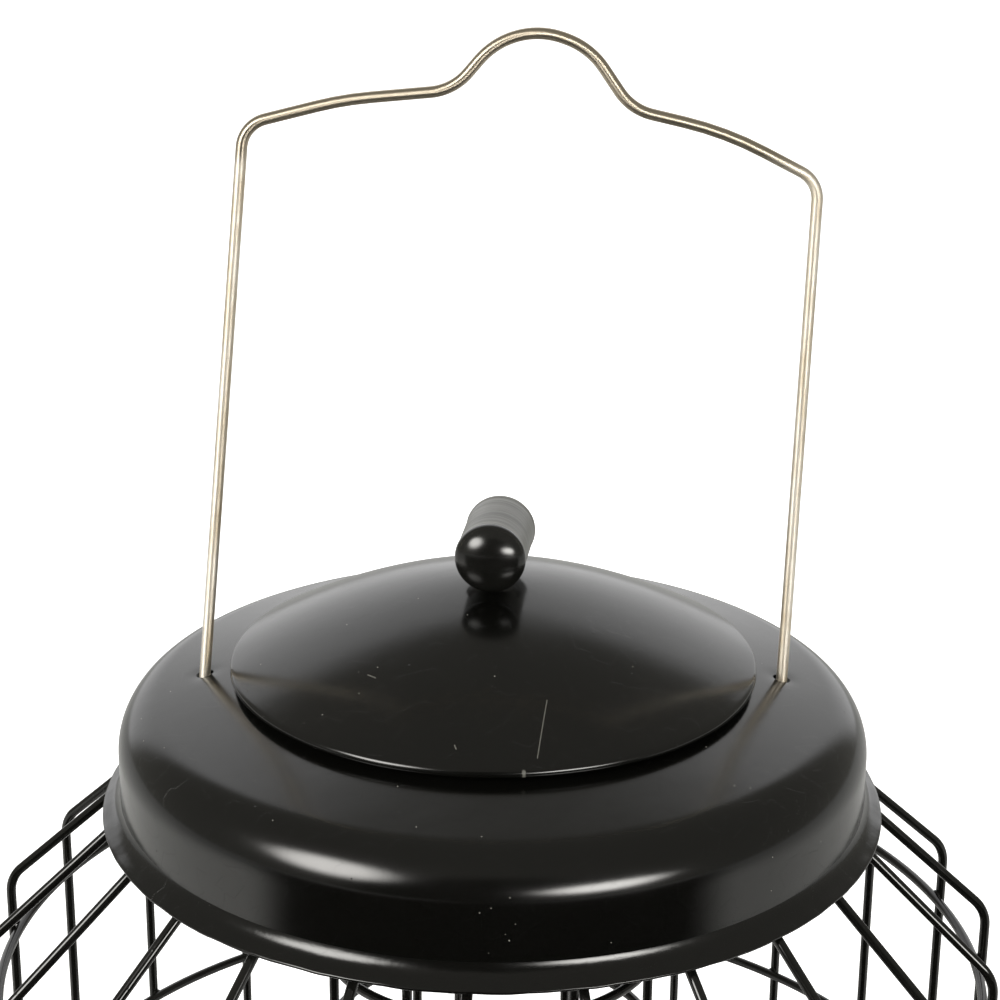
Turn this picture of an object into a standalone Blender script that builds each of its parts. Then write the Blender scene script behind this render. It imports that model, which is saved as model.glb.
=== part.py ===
"""Caged tube bird feeder: a pressed steel roof with a lift-off lid and a turning T handle, a wire
bail, a round guard cage of bent uprights and hoops, an open wire tube down the middle and a dish tray.

World frame in metres, +Z up. The origin is the middle of the tray's flat underside, and -Y is the
front. All heights given from the skirt plane are measured from the roof's lower edge.
"""

import math

import bmesh
import bpy
from mathutils import Matrix, Vector

# Driving sizes in metres

# General fit between touching pieces
GAP = 0.0003
SHEET = 0.0008
SKIRT_PLANE = 0.242

# Roof pressing: a flared skirt edge, an upright wall, a round shoulder and a cone up to the collar
SKIRT_RADIUS = 0.085
SKIRT_FLARE = 0.0039
WALL_RADIUS = SKIRT_RADIUS - SKIRT_FLARE
CREASE_HEIGHT = 0.0039
WALL_TOP = 0.0147
SHOULDER_RADIUS = 0.0115
CONE_SLOPE = math.radians(13.0)

# Guard cage wire
CAGE_WIRE = 0.0022
UPRIGHT_COUNT = 23
UPRIGHT_PHASE = math.radians(157.4)
CAGE_RADIUS = 0.1115
CAGE_SLOPE = math.radians(42.6)
CAGE_BEND = 0.0085
# Room from the end of an upright's bend to the first and to the last hoop
HOOP_TOP_ROOM = 0.0089
HOOP_FOOT_ROOM = 0.0067
HOOP_COUNT = 4
RING_WIRE = 0.003
# Where the uprights lie on the neck ring: in from the roof's wall and up from the skirt plane
NECK_INSET = 0.0021
NECK_RISE = 0.0005
UPRIGHT_OVERRUN = 0.0024

# Tray pressing, with the cage's foot ring round its wall and under its lip
TRAY_WALL_RADIUS = 0.0765
TRAY_LIP_WIDTH = 0.0061
TRAY_LIP_RADIUS = TRAY_WALL_RADIUS + TRAY_LIP_WIDTH
TRAY_LIP_HEIGHT = 0.0140
TRAY_LIP_TURN = 0.0012
TRAY_CORNER = 0.0080
FOOT_RING_OFFSET = 0.0033
FOOT_RING_RADIUS = TRAY_WALL_RADIUS + FOOT_RING_OFFSET
DRAIN_DIAMETER = 0.005
DRAIN_OUTER_CIRCLE = 0.056
DRAIN_INNER_CIRCLE = 0.018
DRAIN_OUTER_COUNT = 8
DRAIN_INNER_COUNT = 6

# Inner wire tube
TUBE_WIRE = 0.0022
TUBE_HOOP_RADIUS = 0.0378
TUBE_HOOP_COUNT = 10
TUBE_HOOP_FOOT = 0.0145
TUBE_HOOP_TOP = 0.020
TUBE_UPRIGHT_COUNT = 6

# Filling collar welded in the roof, its ledge set down from the cone's upper edge
COLLAR_RADIUS = 0.0385
COLLAR_LEDGE_RADIUS = 0.029
COLLAR_LEDGE_DROP = 0.0037
NOTCH_WIDTH = 0.014
NOTCH_REACH = 0.0346

# Lid pressing, its rim a little clear of the cone below it
LID_RADIUS = 0.0568
LID_RIM_CLEARANCE = 0.00194
LID_RIM_TURN = 0.0011
LID_DOME_RISE = 0.0184
LID_DOME_POWER = 1.7
LID_HOLE_RADIUS = 0.0029

# T handle, its stem and the lock bar under the lid
HANDLE_YAW = math.radians(-7.0)
HANDLE_RADIUS = 0.0074
HANDLE_LENGTH = 0.0325
HANDLE_CLEARANCE = 0.0004
HANDLE_NECK_RADIUS = 0.0048
STEM_RADIUS = 0.0025
STEM_DEPTH_IN_HANDLE = 0.0040
SEAL_RADIUS = 0.0065
SEAL_THICKNESS = 0.0010
SPACER_RADIUS = 0.0045
LOCK_BAR_WIDTH = 0.012
LOCK_BAR_HALF_LENGTH = 0.0334
LOCK_BAR_THICKNESS = 0.0022
LOCK_BAR_PLAY = 0.0009
NUT_ACROSS_FLATS = 0.008
NUT_HEIGHT = 0.004
STEM_END = 0.0009

# Wire bail, as it leans in its two roof holes
BAIL_WIRE = 0.0024
BAIL_HOLE_RADIUS = 0.0019
BAIL_LID_CLEARANCE = 0.0058
BAIL_HOLE_OFFSET = LID_RADIUS + BAIL_LID_CLEARANCE
BAIL_LEFT_CORNER = (-0.0511, 0.1482)
BAIL_LEFT_ARCH = (-0.0309, 0.1534)
BAIL_HUMP_LEFT_FOOT = (-0.0089, 0.1555)
BAIL_HUMP_LEFT_TOP = (0.0030, 0.1696)
BAIL_HUMP_RIGHT_TOP = (0.0183, 0.1642)
BAIL_HUMP_RIGHT_FOOT = (0.0268, 0.1519)
BAIL_RIGHT_ARCH = (0.0459, 0.1475)
BAIL_RIGHT_CORNER = (0.0650, 0.1377)
BAIL_LEFT_END = 0.0205
BAIL_RIGHT_END = 0.0090
BAIL_HOOK = 0.0070
BAIL_CORNER_BEND = 0.0065
BAIL_ARCH_BEND = 0.070
BAIL_HUMP_BEND = 0.0153
BAIL_FOOT_BEND = 0.0112
BAIL_HOOK_BEND = 0.0030

# Lugs welded to the roof and the tray that hook round the cage's two end rings
LUG_THICKNESS = 0.0010
LUG_WIDTH = 0.009
LUG_PLACES = (0.13, 0.48, 0.65, 0.96)
LUG_TOP = 0.0120
LUG_REACH = 0.0046
TRAY_LUG_RISE = 0.0010

# Facets
TURN_STEPS = 36
CAGE_HOOP_STEPS = 46
TUBE_HOOP_STEPS = 24
WIRE_RESOLUTION = 1
BEND_SEGMENTS = 4

# Colours as linear red, green, blue, then roughness and metallic
BLACK_ENAMEL = ((0.012, 0.012, 0.012), 0.22, 0.0)
BLACK_WIRE = ((0.014, 0.014, 0.014), 0.28, 0.0)
STAINLESS = ((0.62, 0.60, 0.57), 0.22, 1.0)
ZINC_STEEL = ((0.50, 0.50, 0.49), 0.35, 1.0)
GLOSS_BLACK_PLASTIC = ((0.010, 0.010, 0.010), 0.12, 0.0)
BLACK_RUBBER = ((0.016, 0.016, 0.016), 0.7, 0.0)


def clear_scene():
    """Remove every object that the file opened with."""
    for thing in list(bpy.data.objects):
        bpy.data.objects.remove(thing, do_unlink=True)


def collection(name):
    """Make a collection in the scene and return it."""
    made = bpy.data.collections.new(name)
    bpy.context.scene.collection.children.link(made)
    return made


def finish(name, look):
    """Principled material from a (colour, roughness, metallic) look."""
    found = bpy.data.materials.get(name)
    if found:
        return found
    colour, roughness, metallic = look
    made = bpy.data.materials.new(name)
    made.use_nodes = True
    shader = made.node_tree.nodes["Principled BSDF"]
    shader.inputs["Base Color"].default_value = (*colour, 1.0)
    shader.inputs["Roughness"].default_value = roughness
    shader.inputs["Metallic"].default_value = metallic
    made.diffuse_color = (*colour, 1.0)
    return made


def add(name, data, group, material):
    """Link an object for data into a collection with its material."""
    made = bpy.data.objects.new(name, data)
    group.objects.link(made)
    if material:
        data.materials.append(material)
    return made


def smooth(mesh, angle=math.radians(35.0)):
    """Shade a mesh smooth, with edges sharper than angle kept crisp."""
    mesh.shade_smooth()
    mesh.set_sharp_from_angle(angle=angle)


def evaluated_mesh(thing, name):
    """Copy of an object's evaluated mesh, welded at its caps."""
    bpy.context.view_layer.update()
    graph = bpy.context.evaluated_depsgraph_get()
    mesh = bpy.data.meshes.new_from_object(thing.evaluated_get(graph), depsgraph=graph)
    mesh.name = name
    shape = bmesh.new()
    shape.from_mesh(mesh)
    bmesh.ops.remove_doubles(shape, verts=shape.verts, dist=GAP / 30.0)
    shape.to_mesh(mesh)
    shape.free()
    return mesh


def turned(name, points, group, material, steps=TURN_STEPS, closed=False, sheet=None, phase=0.0):
    """Turn (radius, height) points about Z with a Screw; sheet adds a Solidify on the inner side."""
    mesh = bpy.data.meshes.new(name)
    count = len(points)
    edges = [(i, i + 1) for i in range(count - 1)] + ([(count - 1, 0)] if closed else [])
    mesh.from_pydata([(r * math.cos(phase), r * math.sin(phase), z) for r, z in points], edges, [])
    made = add(name, mesh, group, material)
    screw = made.modifiers.new("Turn", "SCREW")
    screw.steps = steps
    screw.render_steps = steps
    screw.use_merge_vertices = True
    screw.merge_threshold = GAP / 30.0
    screw.use_smooth_shade = True
    if sheet:
        skin = made.modifiers.new("Sheet", "SOLIDIFY")
        skin.thickness = sheet
        skin.offset = -1.0
        skin.use_even_offset = True
    return made


def cut(thing, cutters):
    """Subtract each cutter from thing."""
    for number, cutter in enumerate(cutters):
        cutter.hide_render = True
        cutter.display_type = "WIRE"
        bite = thing.modifiers.new("Cut %d" % (number + 1), "BOOLEAN")
        bite.operation = "DIFFERENCE"
        bite.object = cutter
    return thing


def cylinder(name, radius, depth, centre, group, segments=24, tilt=None, material=None):
    """Upright cylinder mesh object with its middle at centre."""
    mesh = bpy.data.meshes.new(name)
    shape = bmesh.new()
    bmesh.ops.create_cone(shape, cap_ends=True, segments=segments, radius1=radius, radius2=radius,
                          depth=depth, matrix=tilt or Matrix.Identity(4))
    shape.to_mesh(mesh)
    shape.free()
    made = add(name, mesh, group, material)
    made.location = centre
    return made


def block(name, size, centre, group, yaw=0.0):
    """Box mesh object of a size with its middle at centre, turned by yaw about Z."""
    mesh = bpy.data.meshes.new(name)
    shape = bmesh.new()
    bmesh.ops.create_cube(shape, size=1.0, matrix=Matrix.Diagonal((*size, 1.0)))
    shape.to_mesh(mesh)
    shape.free()
    made = add(name, mesh, group, None)
    made.location = centre
    made.rotation_euler = (0.0, 0.0, yaw)
    return made


def rounded_path(corners, bends, segments=BEND_SEGMENTS):
    """Points along straight runs between corners, each inner corner rounded to its bend radius."""
    corners = [Vector(point) for point in corners]
    path = [corners[0]]
    for i in range(1, len(corners) - 1):
        before = (corners[i - 1] - corners[i]).normalized()
        after = (corners[i + 1] - corners[i]).normalized()
        half = before.angle(after) / 2.0
        reach = bends[i - 1] / math.tan(half)
        middle = corners[i] + (before + after).normalized() * (bends[i - 1] / math.sin(half))
        start = corners[i] + before * reach - middle
        end = corners[i] + after * reach - middle
        for step in range(segments + 1):
            path.append(middle + start.slerp(end, step / segments) * bends[i - 1])
    path.append(corners[-1])
    return path


def wire(name, points, diameter, group, material, cyclic=False, resolution=WIRE_RESOLUTION):
    """Round wire along points, as a curve with a bevel and filled caps."""
    curve = bpy.data.curves.new(name, "CURVE")
    curve.dimensions = "3D"
    curve.bevel_depth = diameter / 2.0
    curve.bevel_resolution = resolution
    curve.use_fill_caps = not cyclic
    spline = curve.splines.new("POLY")
    spline.points.add(len(points) - 1)
    for spot, point in zip(spline.points, points):
        spot.co = (*point, 1.0)
        spot.radius = 1.0
    spline.use_cyclic_u = cyclic
    spline.use_smooth = True
    return add(name, curve, group, material)


def plate(name, outlines, thickness, middle, group, material, turn=None):
    """Flat plate from closed outlines (the later ones are holes), centred on its thickness."""
    curve = bpy.data.curves.new(name, "CURVE")
    curve.dimensions = "2D"
    curve.fill_mode = "BOTH"
    curve.extrude = thickness / 2.0
    for outline in outlines:
        spline = curve.splines.new("POLY")
        spline.points.add(len(outline) - 1)
        for spot, (x, y) in zip(spline.points, outline):
            spot.co = (x, y, 0.0, 1.0)
        spline.use_cyclic_u = True
    made = add(name, curve, group, material)
    made.location = middle
    if turn:
        made.rotation_euler = turn
    return made


def ring_points(radius, count, phase=0.0):
    """Corners of a regular polygon on a circle."""
    return [(radius * math.cos(phase + math.tau * i / count), radius * math.sin(phase + math.tau * i / count))
            for i in range(count)]


def ring(name, radius, diameter, height, group, material, steps, phase=0.0):
    """Closed wire hoop lying level at a height."""
    points = [(x, y, 0.0) for x, y in ring_points(radius, steps, phase)]
    made = wire(name, points, diameter, group, material, cyclic=True)
    made.location = (0.0, 0.0, height)
    return made


def join_solids(name, pieces, group, material):
    """One object that holds several separate pieces, each as its own closed body."""
    shape = bmesh.new()
    for piece in pieces:
        mesh = evaluated_mesh(piece, name + "_piece")
        mesh.transform(piece.matrix_world)
        shape.from_mesh(mesh)
        bpy.data.meshes.remove(mesh)
    mesh = bpy.data.meshes.new(name)
    shape.to_mesh(mesh)
    shape.free()
    for piece in pieces:
        bpy.data.objects.remove(piece, do_unlink=True)
    mesh.materials.clear()
    smooth(mesh)
    return add(name, mesh, group, material)


def cone_height(radius):
    """Height over the skirt plane of the roof's outer face at a radius on its cone."""
    end = WALL_RADIUS - SHOULDER_RADIUS + SHOULDER_RADIUS * math.sin(CONE_SLOPE)
    return WALL_TOP + SHOULDER_RADIUS * math.cos(CONE_SLOPE) + (end - radius) * math.tan(CONE_SLOPE)


def lid_rim_height():
    """Height over the skirt plane of the lid's lower edge."""
    return cone_height(LID_RADIUS) + LID_RIM_CLEARANCE


def ledge_height():
    """Height over the skirt plane of the underside of the collar's ledge."""
    return cone_height(COLLAR_RADIUS) - COLLAR_LEDGE_DROP


def lid_height(radius):
    """Height over the skirt plane of the lid's outer face at a radius."""
    base = lid_rim_height() + LID_RIM_TURN
    return base + LID_DOME_RISE * (1.0 - (radius / LID_RADIUS) ** LID_DOME_POWER)


def lid_underside(radius):
    """Height over the skirt plane of the lid's inner face at a radius."""
    slope = LID_DOME_RISE * LID_DOME_POWER / LID_RADIUS * (radius / LID_RADIUS) ** (LID_DOME_POWER - 1.0)
    return lid_height(radius) - SHEET * math.hypot(1.0, slope)


def roof_profile():
    """Roof's outer face from the collar out and down to the skirt's lower edge."""
    opening = COLLAR_RADIUS + GAP
    profile = [(opening, cone_height(opening))]
    arc_segments = 6
    for i in range(arc_segments + 1):
        turn = (math.pi / 2.0 - CONE_SLOPE) * (1.0 - i / arc_segments)
        profile.append((WALL_RADIUS - SHOULDER_RADIUS + SHOULDER_RADIUS * math.cos(turn),
                        WALL_TOP + SHOULDER_RADIUS * math.sin(turn)))
    profile.append((WALL_RADIUS, CREASE_HEIGHT * 1.3))
    profile.append((WALL_RADIUS + (SKIRT_RADIUS - WALL_RADIUS) * 0.2, CREASE_HEIGHT * 0.72))
    profile.append((SKIRT_RADIUS, SHEET * 0.4))
    return [(r, SKIRT_PLANE + z) for r, z in profile]


def bail_hole_height():
    """Height of the middle of the roof sheet at the two bail holes."""
    return SKIRT_PLANE + cone_height(BAIL_HOLE_OFFSET) - SHEET / 2.0 / math.cos(CONE_SLOPE)


def build_roof(parts, cutters):
    """Pressed roof cap with its two bail holes, and the filling collar welded in its middle."""
    enamel = finish("roof_enamel", BLACK_ENAMEL)
    roof = turned("roof", roof_profile(), parts, enamel, sheet=SHEET, phase=math.pi / TURN_STEPS)
    hole_depth = SHOULDER_RADIUS
    holes = [cylinder("bail_hole_cutter_%s" % side, BAIL_HOLE_RADIUS, hole_depth,
                      (sign * BAIL_HOLE_OFFSET, 0.0, bail_hole_height()), cutters, segments=16)
             for side, sign in (("left", -1.0), ("right", 1.0))]
    level = neck_ring_place()[1] - RING_WIRE / 2.0 - GAP - LUG_THICKNESS
    lugs = [lug("roof_lug_shape", WALL_RADIUS - SHEET * 0.75, SKIRT_PLANE + LUG_TOP, level, -LUG_REACH, cutters,
                turn) for turn in lug_turns()]
    weld_on(roof, join_solids("roof_lugs", lugs, cutters, None))
    cut(roof, holes)
    inner = COLLAR_RADIUS - SHEET
    top = lid_underside(COLLAR_RADIUS) - GAP
    ledge = ledge_height()
    profile = [(COLLAR_RADIUS, top), (COLLAR_RADIUS, ledge), (COLLAR_LEDGE_RADIUS, ledge),
               (COLLAR_LEDGE_RADIUS, ledge + SHEET), (inner, ledge + SHEET), (inner, top)]
    collar = turned("fill_collar", [(r, SKIRT_PLANE + z) for r, z in profile], parts,
                    finish("collar_enamel", BLACK_ENAMEL), steps=TURN_STEPS, closed=True,
                    phase=math.pi / TURN_STEPS)
    notch = block("collar_notch_cutter", (NOTCH_WIDTH, 2.0 * NOTCH_REACH, 3.0 * SHEET),
                  (0.0, 0.0, SKIRT_PLANE + ledge + SHEET / 2.0), cutters, HANDLE_YAW)
    cut(collar, [notch])


def build_lid(parts, cutters):
    """Domed lid with its turned rim, the seal under it and the piece that turns."""
    enamel = finish("lid_enamel", BLACK_ENAMEL)
    radii = [LID_HOLE_RADIUS] + [LID_RADIUS * share for share in (0.2, 0.4, 0.55, 0.68, 0.79, 0.88, 0.95)]
    profile = [(r, lid_height(r)) for r in radii]
    profile += [(LID_RADIUS * 0.992, lid_height(LID_RADIUS * 0.99)), (LID_RADIUS, lid_rim_height())]
    turned("lid", [(r, SKIRT_PLANE + z) for r, z in profile], parts, enamel, sheet=SHEET,
           phase=math.pi / TURN_STEPS)
    apex = SKIRT_PLANE + lid_height(0.0)
    clear = STEM_RADIUS + GAP
    seal_bottom = SKIRT_PLANE + lid_underside(SEAL_RADIUS * 1.2) - GAP - SEAL_THICKNESS
    plate("lid_seal", [ring_points(SEAL_RADIUS, 24), ring_points(clear, 16)], SEAL_THICKNESS,
          (0.0, 0.0, seal_bottom + SEAL_THICKNESS / 2.0), parts, finish("seal_rubber", BLACK_RUBBER))
    neck_bottom = apex + GAP
    rod_middle = neck_bottom + HANDLE_CLEARANCE + HANDLE_RADIUS
    straight = HANDLE_LENGTH / 2.0 - HANDLE_RADIUS
    end_segments = 5
    rod = [(HANDLE_RADIUS * math.sin(math.pi / 2.0 * i / end_segments),
            straight + HANDLE_RADIUS * math.cos(math.pi / 2.0 * i / end_segments)) for i in range(end_segments + 1)]
    rod += [(r, -z) for r, z in reversed(rod)]
    handle = turned("handle", rod, parts, finish("handle_gloss", GLOSS_BLACK_PLASTIC), steps=20)
    handle.rotation_euler = (math.pi / 2.0, 0.0, HANDLE_YAW)
    handle.location = (0.0, 0.0, rod_middle)
    neck_length = rod_middle - neck_bottom
    neck = cylinder("handle_neck_shape", HANDLE_NECK_RADIUS, neck_length,
                    (0.0, 0.0, neck_bottom + neck_length / 2.0), cutters, segments=16)
    weld_on(handle, neck)
    stem_top = rod_middle - HANDLE_RADIUS + STEM_DEPTH_IN_HANDLE
    bore_depth = 2.0 * (stem_top + GAP - neck_bottom)
    bore = cylinder("handle_bore_cutter", clear, bore_depth, (0.0, 0.0, neck_bottom), cutters, segments=16)
    cut(handle, [bore])
    bar_top = SKIRT_PLANE + ledge_height() - LOCK_BAR_PLAY
    bar_middle = bar_top - LOCK_BAR_THICKNESS / 2.0
    nut_top = bar_top - LOCK_BAR_THICKNESS - GAP
    stem_bottom = nut_top - NUT_HEIGHT - STEM_END
    stem = cylinder("stem", STEM_RADIUS, stem_top - stem_bottom, (0.0, 0.0, (stem_top + stem_bottom) / 2.0),
                    parts, segments=16, material=finish("stem_zinc", ZINC_STEEL))
    smooth(stem.data)
    spacer_top = seal_bottom - GAP
    plate("stem_spacer", [ring_points(SPACER_RADIUS, 16), ring_points(clear, 16)],
          spacer_top - bar_top - GAP, (0.0, 0.0, (spacer_top + bar_top + GAP) / 2.0), parts,
          finish("spacer_zinc", ZINC_STEEL))
    side = LOCK_BAR_WIDTH / 2.0
    arc_segments = 5
    swing = math.asin(side / LOCK_BAR_HALF_LENGTH)
    tip = [(LOCK_BAR_HALF_LENGTH * math.sin(swing * (1.0 - 2.0 * i / arc_segments)),
            LOCK_BAR_HALF_LENGTH * math.cos(swing * (1.0 - 2.0 * i / arc_segments)))
           for i in range(arc_segments + 1)]
    outline = tip + [(-x, -y) for x, y in tip]
    plate("lock_bar", [outline, ring_points(clear, 16)], LOCK_BAR_THICKNESS,
          (0.0, 0.0, bar_middle), parts, finish("lock_bar_zinc", ZINC_STEEL), (0.0, 0.0, HANDLE_YAW))
    corner = NUT_ACROSS_FLATS / math.sqrt(3.0)
    plate("stem_nut", [ring_points(corner, 6), ring_points(clear, 16)], NUT_HEIGHT,
          (0.0, 0.0, nut_top - NUT_HEIGHT / 2.0), parts, finish("nut_zinc", ZINC_STEEL))


def bail_path():
    """Corner points and bend radii of the bail from its left hook to its right hook."""
    hole = bail_hole_height()
    left_corner = Vector((BAIL_LEFT_CORNER[0], 0.0, SKIRT_PLANE + BAIL_LEFT_CORNER[1]))
    right_corner = Vector((BAIL_RIGHT_CORNER[0], 0.0, SKIRT_PLANE + BAIL_RIGHT_CORNER[1]))
    left_hole = Vector((-BAIL_HOLE_OFFSET, 0.0, hole))
    right_hole = Vector((BAIL_HOLE_OFFSET, 0.0, hole))

    def along(corner, passing, height):
        """Point at a height on the line through two points."""
        return corner + (passing - corner) * ((height - corner.z) / (passing.z - corner.z))

    left_end = along(left_corner, left_hole, SKIRT_PLANE + BAIL_LEFT_END)
    right_end = along(right_corner, right_hole, SKIRT_PLANE + BAIL_RIGHT_END)
    hook = Vector((BAIL_HOOK, 0.0, 0.0))
    top = [Vector((x, 0.0, SKIRT_PLANE + z)) for x, z in
           (BAIL_LEFT_ARCH, BAIL_HUMP_LEFT_FOOT, BAIL_HUMP_LEFT_TOP, BAIL_HUMP_RIGHT_TOP, BAIL_HUMP_RIGHT_FOOT,
            BAIL_RIGHT_ARCH)]
    corners = [left_end - hook, left_end, left_corner, *top, right_corner, right_end, right_end + hook]
    half = [BAIL_HOOK_BEND, BAIL_CORNER_BEND, BAIL_ARCH_BEND, BAIL_FOOT_BEND, BAIL_HUMP_BEND]
    bends = half + half[::-1]
    return corners, bends


def build_bail(parts):
    """Bail, with its origin on the line through the two roof holes that it swings about."""
    pivot = Vector((0.0, 0.0, bail_hole_height()))
    corners, bends = bail_path()
    path = [point - pivot for point in rounded_path(corners, bends, 5)]
    made = wire("bail", path, BAIL_WIRE, parts, finish("bail_stainless", STAINLESS), resolution=2)
    made.location = pivot


def upright_path():
    """Corner points (radius, height) of one guard upright from its foot to its neck end."""
    reach = Vector((math.cos(CAGE_SLOPE), math.sin(CAGE_SLOPE))) * UPRIGHT_OVERRUN
    neck = neck_contact()
    foot = foot_contact()
    top_corner = neck.y - (CAGE_RADIUS - neck.x) * math.tan(CAGE_SLOPE)
    bottom_corner = foot.y + (CAGE_RADIUS - foot.x) * math.tan(CAGE_SLOPE)
    return [(foot.x - reach.x, foot.y - reach.y), (CAGE_RADIUS, bottom_corner), (CAGE_RADIUS, top_corner),
            (neck.x - reach.x, neck.y + reach.y)]


def hoop_heights():
    """Heights of the guard cage's hoops, spread down the uprights' straight run."""
    _, (_, bottom_corner), (_, top_corner), _ = upright_path()
    bend = CAGE_BEND * math.tan((math.pi / 2.0 - CAGE_SLOPE) / 2.0)
    top = top_corner - bend - HOOP_TOP_ROOM
    foot = bottom_corner + bend + HOOP_FOOT_ROOM
    return [top + (foot - top) * number / (HOOP_COUNT - 1) for number in range(HOOP_COUNT)]


def foot_ring_height():
    """Height of the foot ring's middle, just under the tray's lip."""
    return TRAY_LIP_HEIGHT - SHEET - GAP - RING_WIRE / 2.0


def foot_contact():
    """Point (radius, height) on an upright's middle line beside the foot ring."""
    reach = (CAGE_WIRE + RING_WIRE) / 2.0 + GAP
    return Vector((FOOT_RING_RADIUS + reach * math.sin(CAGE_SLOPE),
                   foot_ring_height() - reach * math.cos(CAGE_SLOPE)))


def neck_contact():
    """Point (radius, height) on an upright's middle line beside the neck ring."""
    return Vector((WALL_RADIUS - NECK_INSET, SKIRT_PLANE + NECK_RISE))


def neck_ring_place():
    """Radius and height of the neck ring's middle, under and inside the uprights' top ends."""
    reach = (CAGE_WIRE + RING_WIRE) / 2.0 + GAP
    contact = neck_contact()
    return contact.x - reach * math.sin(CAGE_SLOPE), contact.y - reach * math.cos(CAGE_SLOPE)


def build_cage(parts):
    """Guard cage: bent uprights, level hoops inside them and a ring at each end."""
    enamel = finish("cage_wire_enamel", BLACK_WIRE)
    corners = upright_path()
    flat = rounded_path([(r, 0.0, z) for r, z in corners], [CAGE_BEND, CAGE_BEND])
    for number in range(UPRIGHT_COUNT):
        turn = UPRIGHT_PHASE + math.tau * number / UPRIGHT_COUNT
        path = [(p.x * math.cos(turn), p.x * math.sin(turn), p.z) for p in flat]
        wire("cage_upright_%02d" % (number + 1), path, CAGE_WIRE, parts, enamel)
    hoop_radius = CAGE_RADIUS - CAGE_WIRE - GAP
    for number, height in enumerate(hoop_heights()):
        ring("cage_hoop_%d" % (number + 1), hoop_radius, CAGE_WIRE, height, parts, enamel,
             CAGE_HOOP_STEPS, UPRIGHT_PHASE)
    neck_radius, neck_height = neck_ring_place()
    ring("cage_neck_ring", neck_radius, RING_WIRE, neck_height, parts, enamel, CAGE_HOOP_STEPS, UPRIGHT_PHASE)
    ring("cage_foot_ring", FOOT_RING_RADIUS, RING_WIRE, foot_ring_height(), parts, enamel, CAGE_HOOP_STEPS,
         UPRIGHT_PHASE)


def build_tube(parts):
    """Open wire tube: straight uprights from the tray to the collar's ledge, in hoops."""
    enamel = finish("tube_wire_enamel", BLACK_WIRE)
    radius = TUBE_HOOP_RADIUS - TUBE_WIRE - GAP
    bottom = SHEET + GAP
    top = SKIRT_PLANE + ledge_height() - GAP
    for number, (x, y) in enumerate(ring_points(radius, TUBE_UPRIGHT_COUNT)):
        wire("tube_upright_%d" % (number + 1), [(x, y, bottom), (x, y, top)], TUBE_WIRE, parts, enamel)
    highest = SKIRT_PLANE + TUBE_HOOP_TOP
    for number in range(TUBE_HOOP_COUNT):
        height = highest + (TUBE_HOOP_FOOT - highest) * number / (TUBE_HOOP_COUNT - 1)
        ring("tube_hoop_%02d" % (number + 1), TUBE_HOOP_RADIUS, TUBE_WIRE, height, parts, enamel,
             TUBE_HOOP_STEPS)


def lug(name, wall, leg_top, foot_level, reach, cutters, turn):
    """L-shaped lug: an upright leg set in a wall, and a foot that reaches across a ring."""
    sign = 1.0 if reach > 0.0 else -1.0
    face = wall + sign * LUG_THICKNESS
    outline = [(wall, leg_top), (face, leg_top), (face, foot_level + LUG_THICKNESS),
               (face + reach, foot_level + LUG_THICKNESS), (face + reach, foot_level), (wall, foot_level)]
    shape = plate(name, [outline], LUG_WIDTH, (0.0, 0.0, 0.0), cutters, None)
    shape.rotation_euler = (math.pi / 2.0, 0.0, turn)
    return shape


def lug_turns():
    """Directions of the lugs, each midway between two uprights, at set shares of the turn."""
    pitch = math.tau / UPRIGHT_COUNT
    return [UPRIGHT_PHASE + pitch * (round(UPRIGHT_COUNT * place) + 0.5) for place in LUG_PLACES]


def weld_on(thing, pieces):
    """Join hidden helper pieces to thing with a Boolean union."""
    pieces.hide_render = True
    pieces.display_type = "WIRE"
    grow = thing.modifiers.new("Weld on", "BOOLEAN")
    grow.operation = "UNION"
    grow.object = pieces
    return thing


def build_tray(parts, cutters):
    """Dish tray with its lip over the foot ring, its drain holes and the lugs under the ring."""
    enamel = finish("tray_enamel", BLACK_ENAMEL)
    turn_radius = TRAY_LIP_TURN / 2.0
    arc_segments = 4
    wall = TRAY_WALL_RADIUS - SHEET
    corner = TRAY_CORNER - SHEET
    profile = [(0.0, SHEET)]
    for i in range(arc_segments + 1):
        turn = math.pi / 2.0 * (1.0 - i / arc_segments)
        profile.append((wall - corner + corner * math.cos(turn), TRAY_CORNER - corner * math.sin(turn)))
    profile += [(wall, TRAY_LIP_HEIGHT - turn_radius), (wall + turn_radius, TRAY_LIP_HEIGHT),
                (TRAY_LIP_RADIUS - turn_radius, TRAY_LIP_HEIGHT),
                (TRAY_LIP_RADIUS, TRAY_LIP_HEIGHT - turn_radius), (TRAY_LIP_RADIUS, TRAY_LIP_HEIGHT - TRAY_LIP_TURN)]
    tray = turned("tray", profile, parts, enamel, sheet=SHEET, phase=math.pi / TURN_STEPS)
    level = foot_ring_height() - RING_WIRE / 2.0 - GAP - LUG_THICKNESS
    lugs = [lug("tray_lug_shape", TRAY_WALL_RADIUS - SHEET * 0.7, level + LUG_THICKNESS + TRAY_LUG_RISE, level,
                LUG_REACH, cutters, turn) for turn in lug_turns()]
    weld_on(tray, join_solids("tray_lugs", lugs, cutters, None))
    drains = [ring_points(DRAIN_OUTER_CIRCLE, DRAIN_OUTER_COUNT), ring_points(DRAIN_INNER_CIRCLE, DRAIN_INNER_COUNT)]
    holes = []
    for circle in drains:
        for x, y in circle:
            holes.append(cylinder("drain_cutter", DRAIN_DIAMETER / 2.0, 4.0 * SHEET, (x, y, SHEET / 2.0),
                                  cutters, segments=12))
    cut(tray, [join_solids("drain_cutters", holes, cutters, None)])


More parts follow.
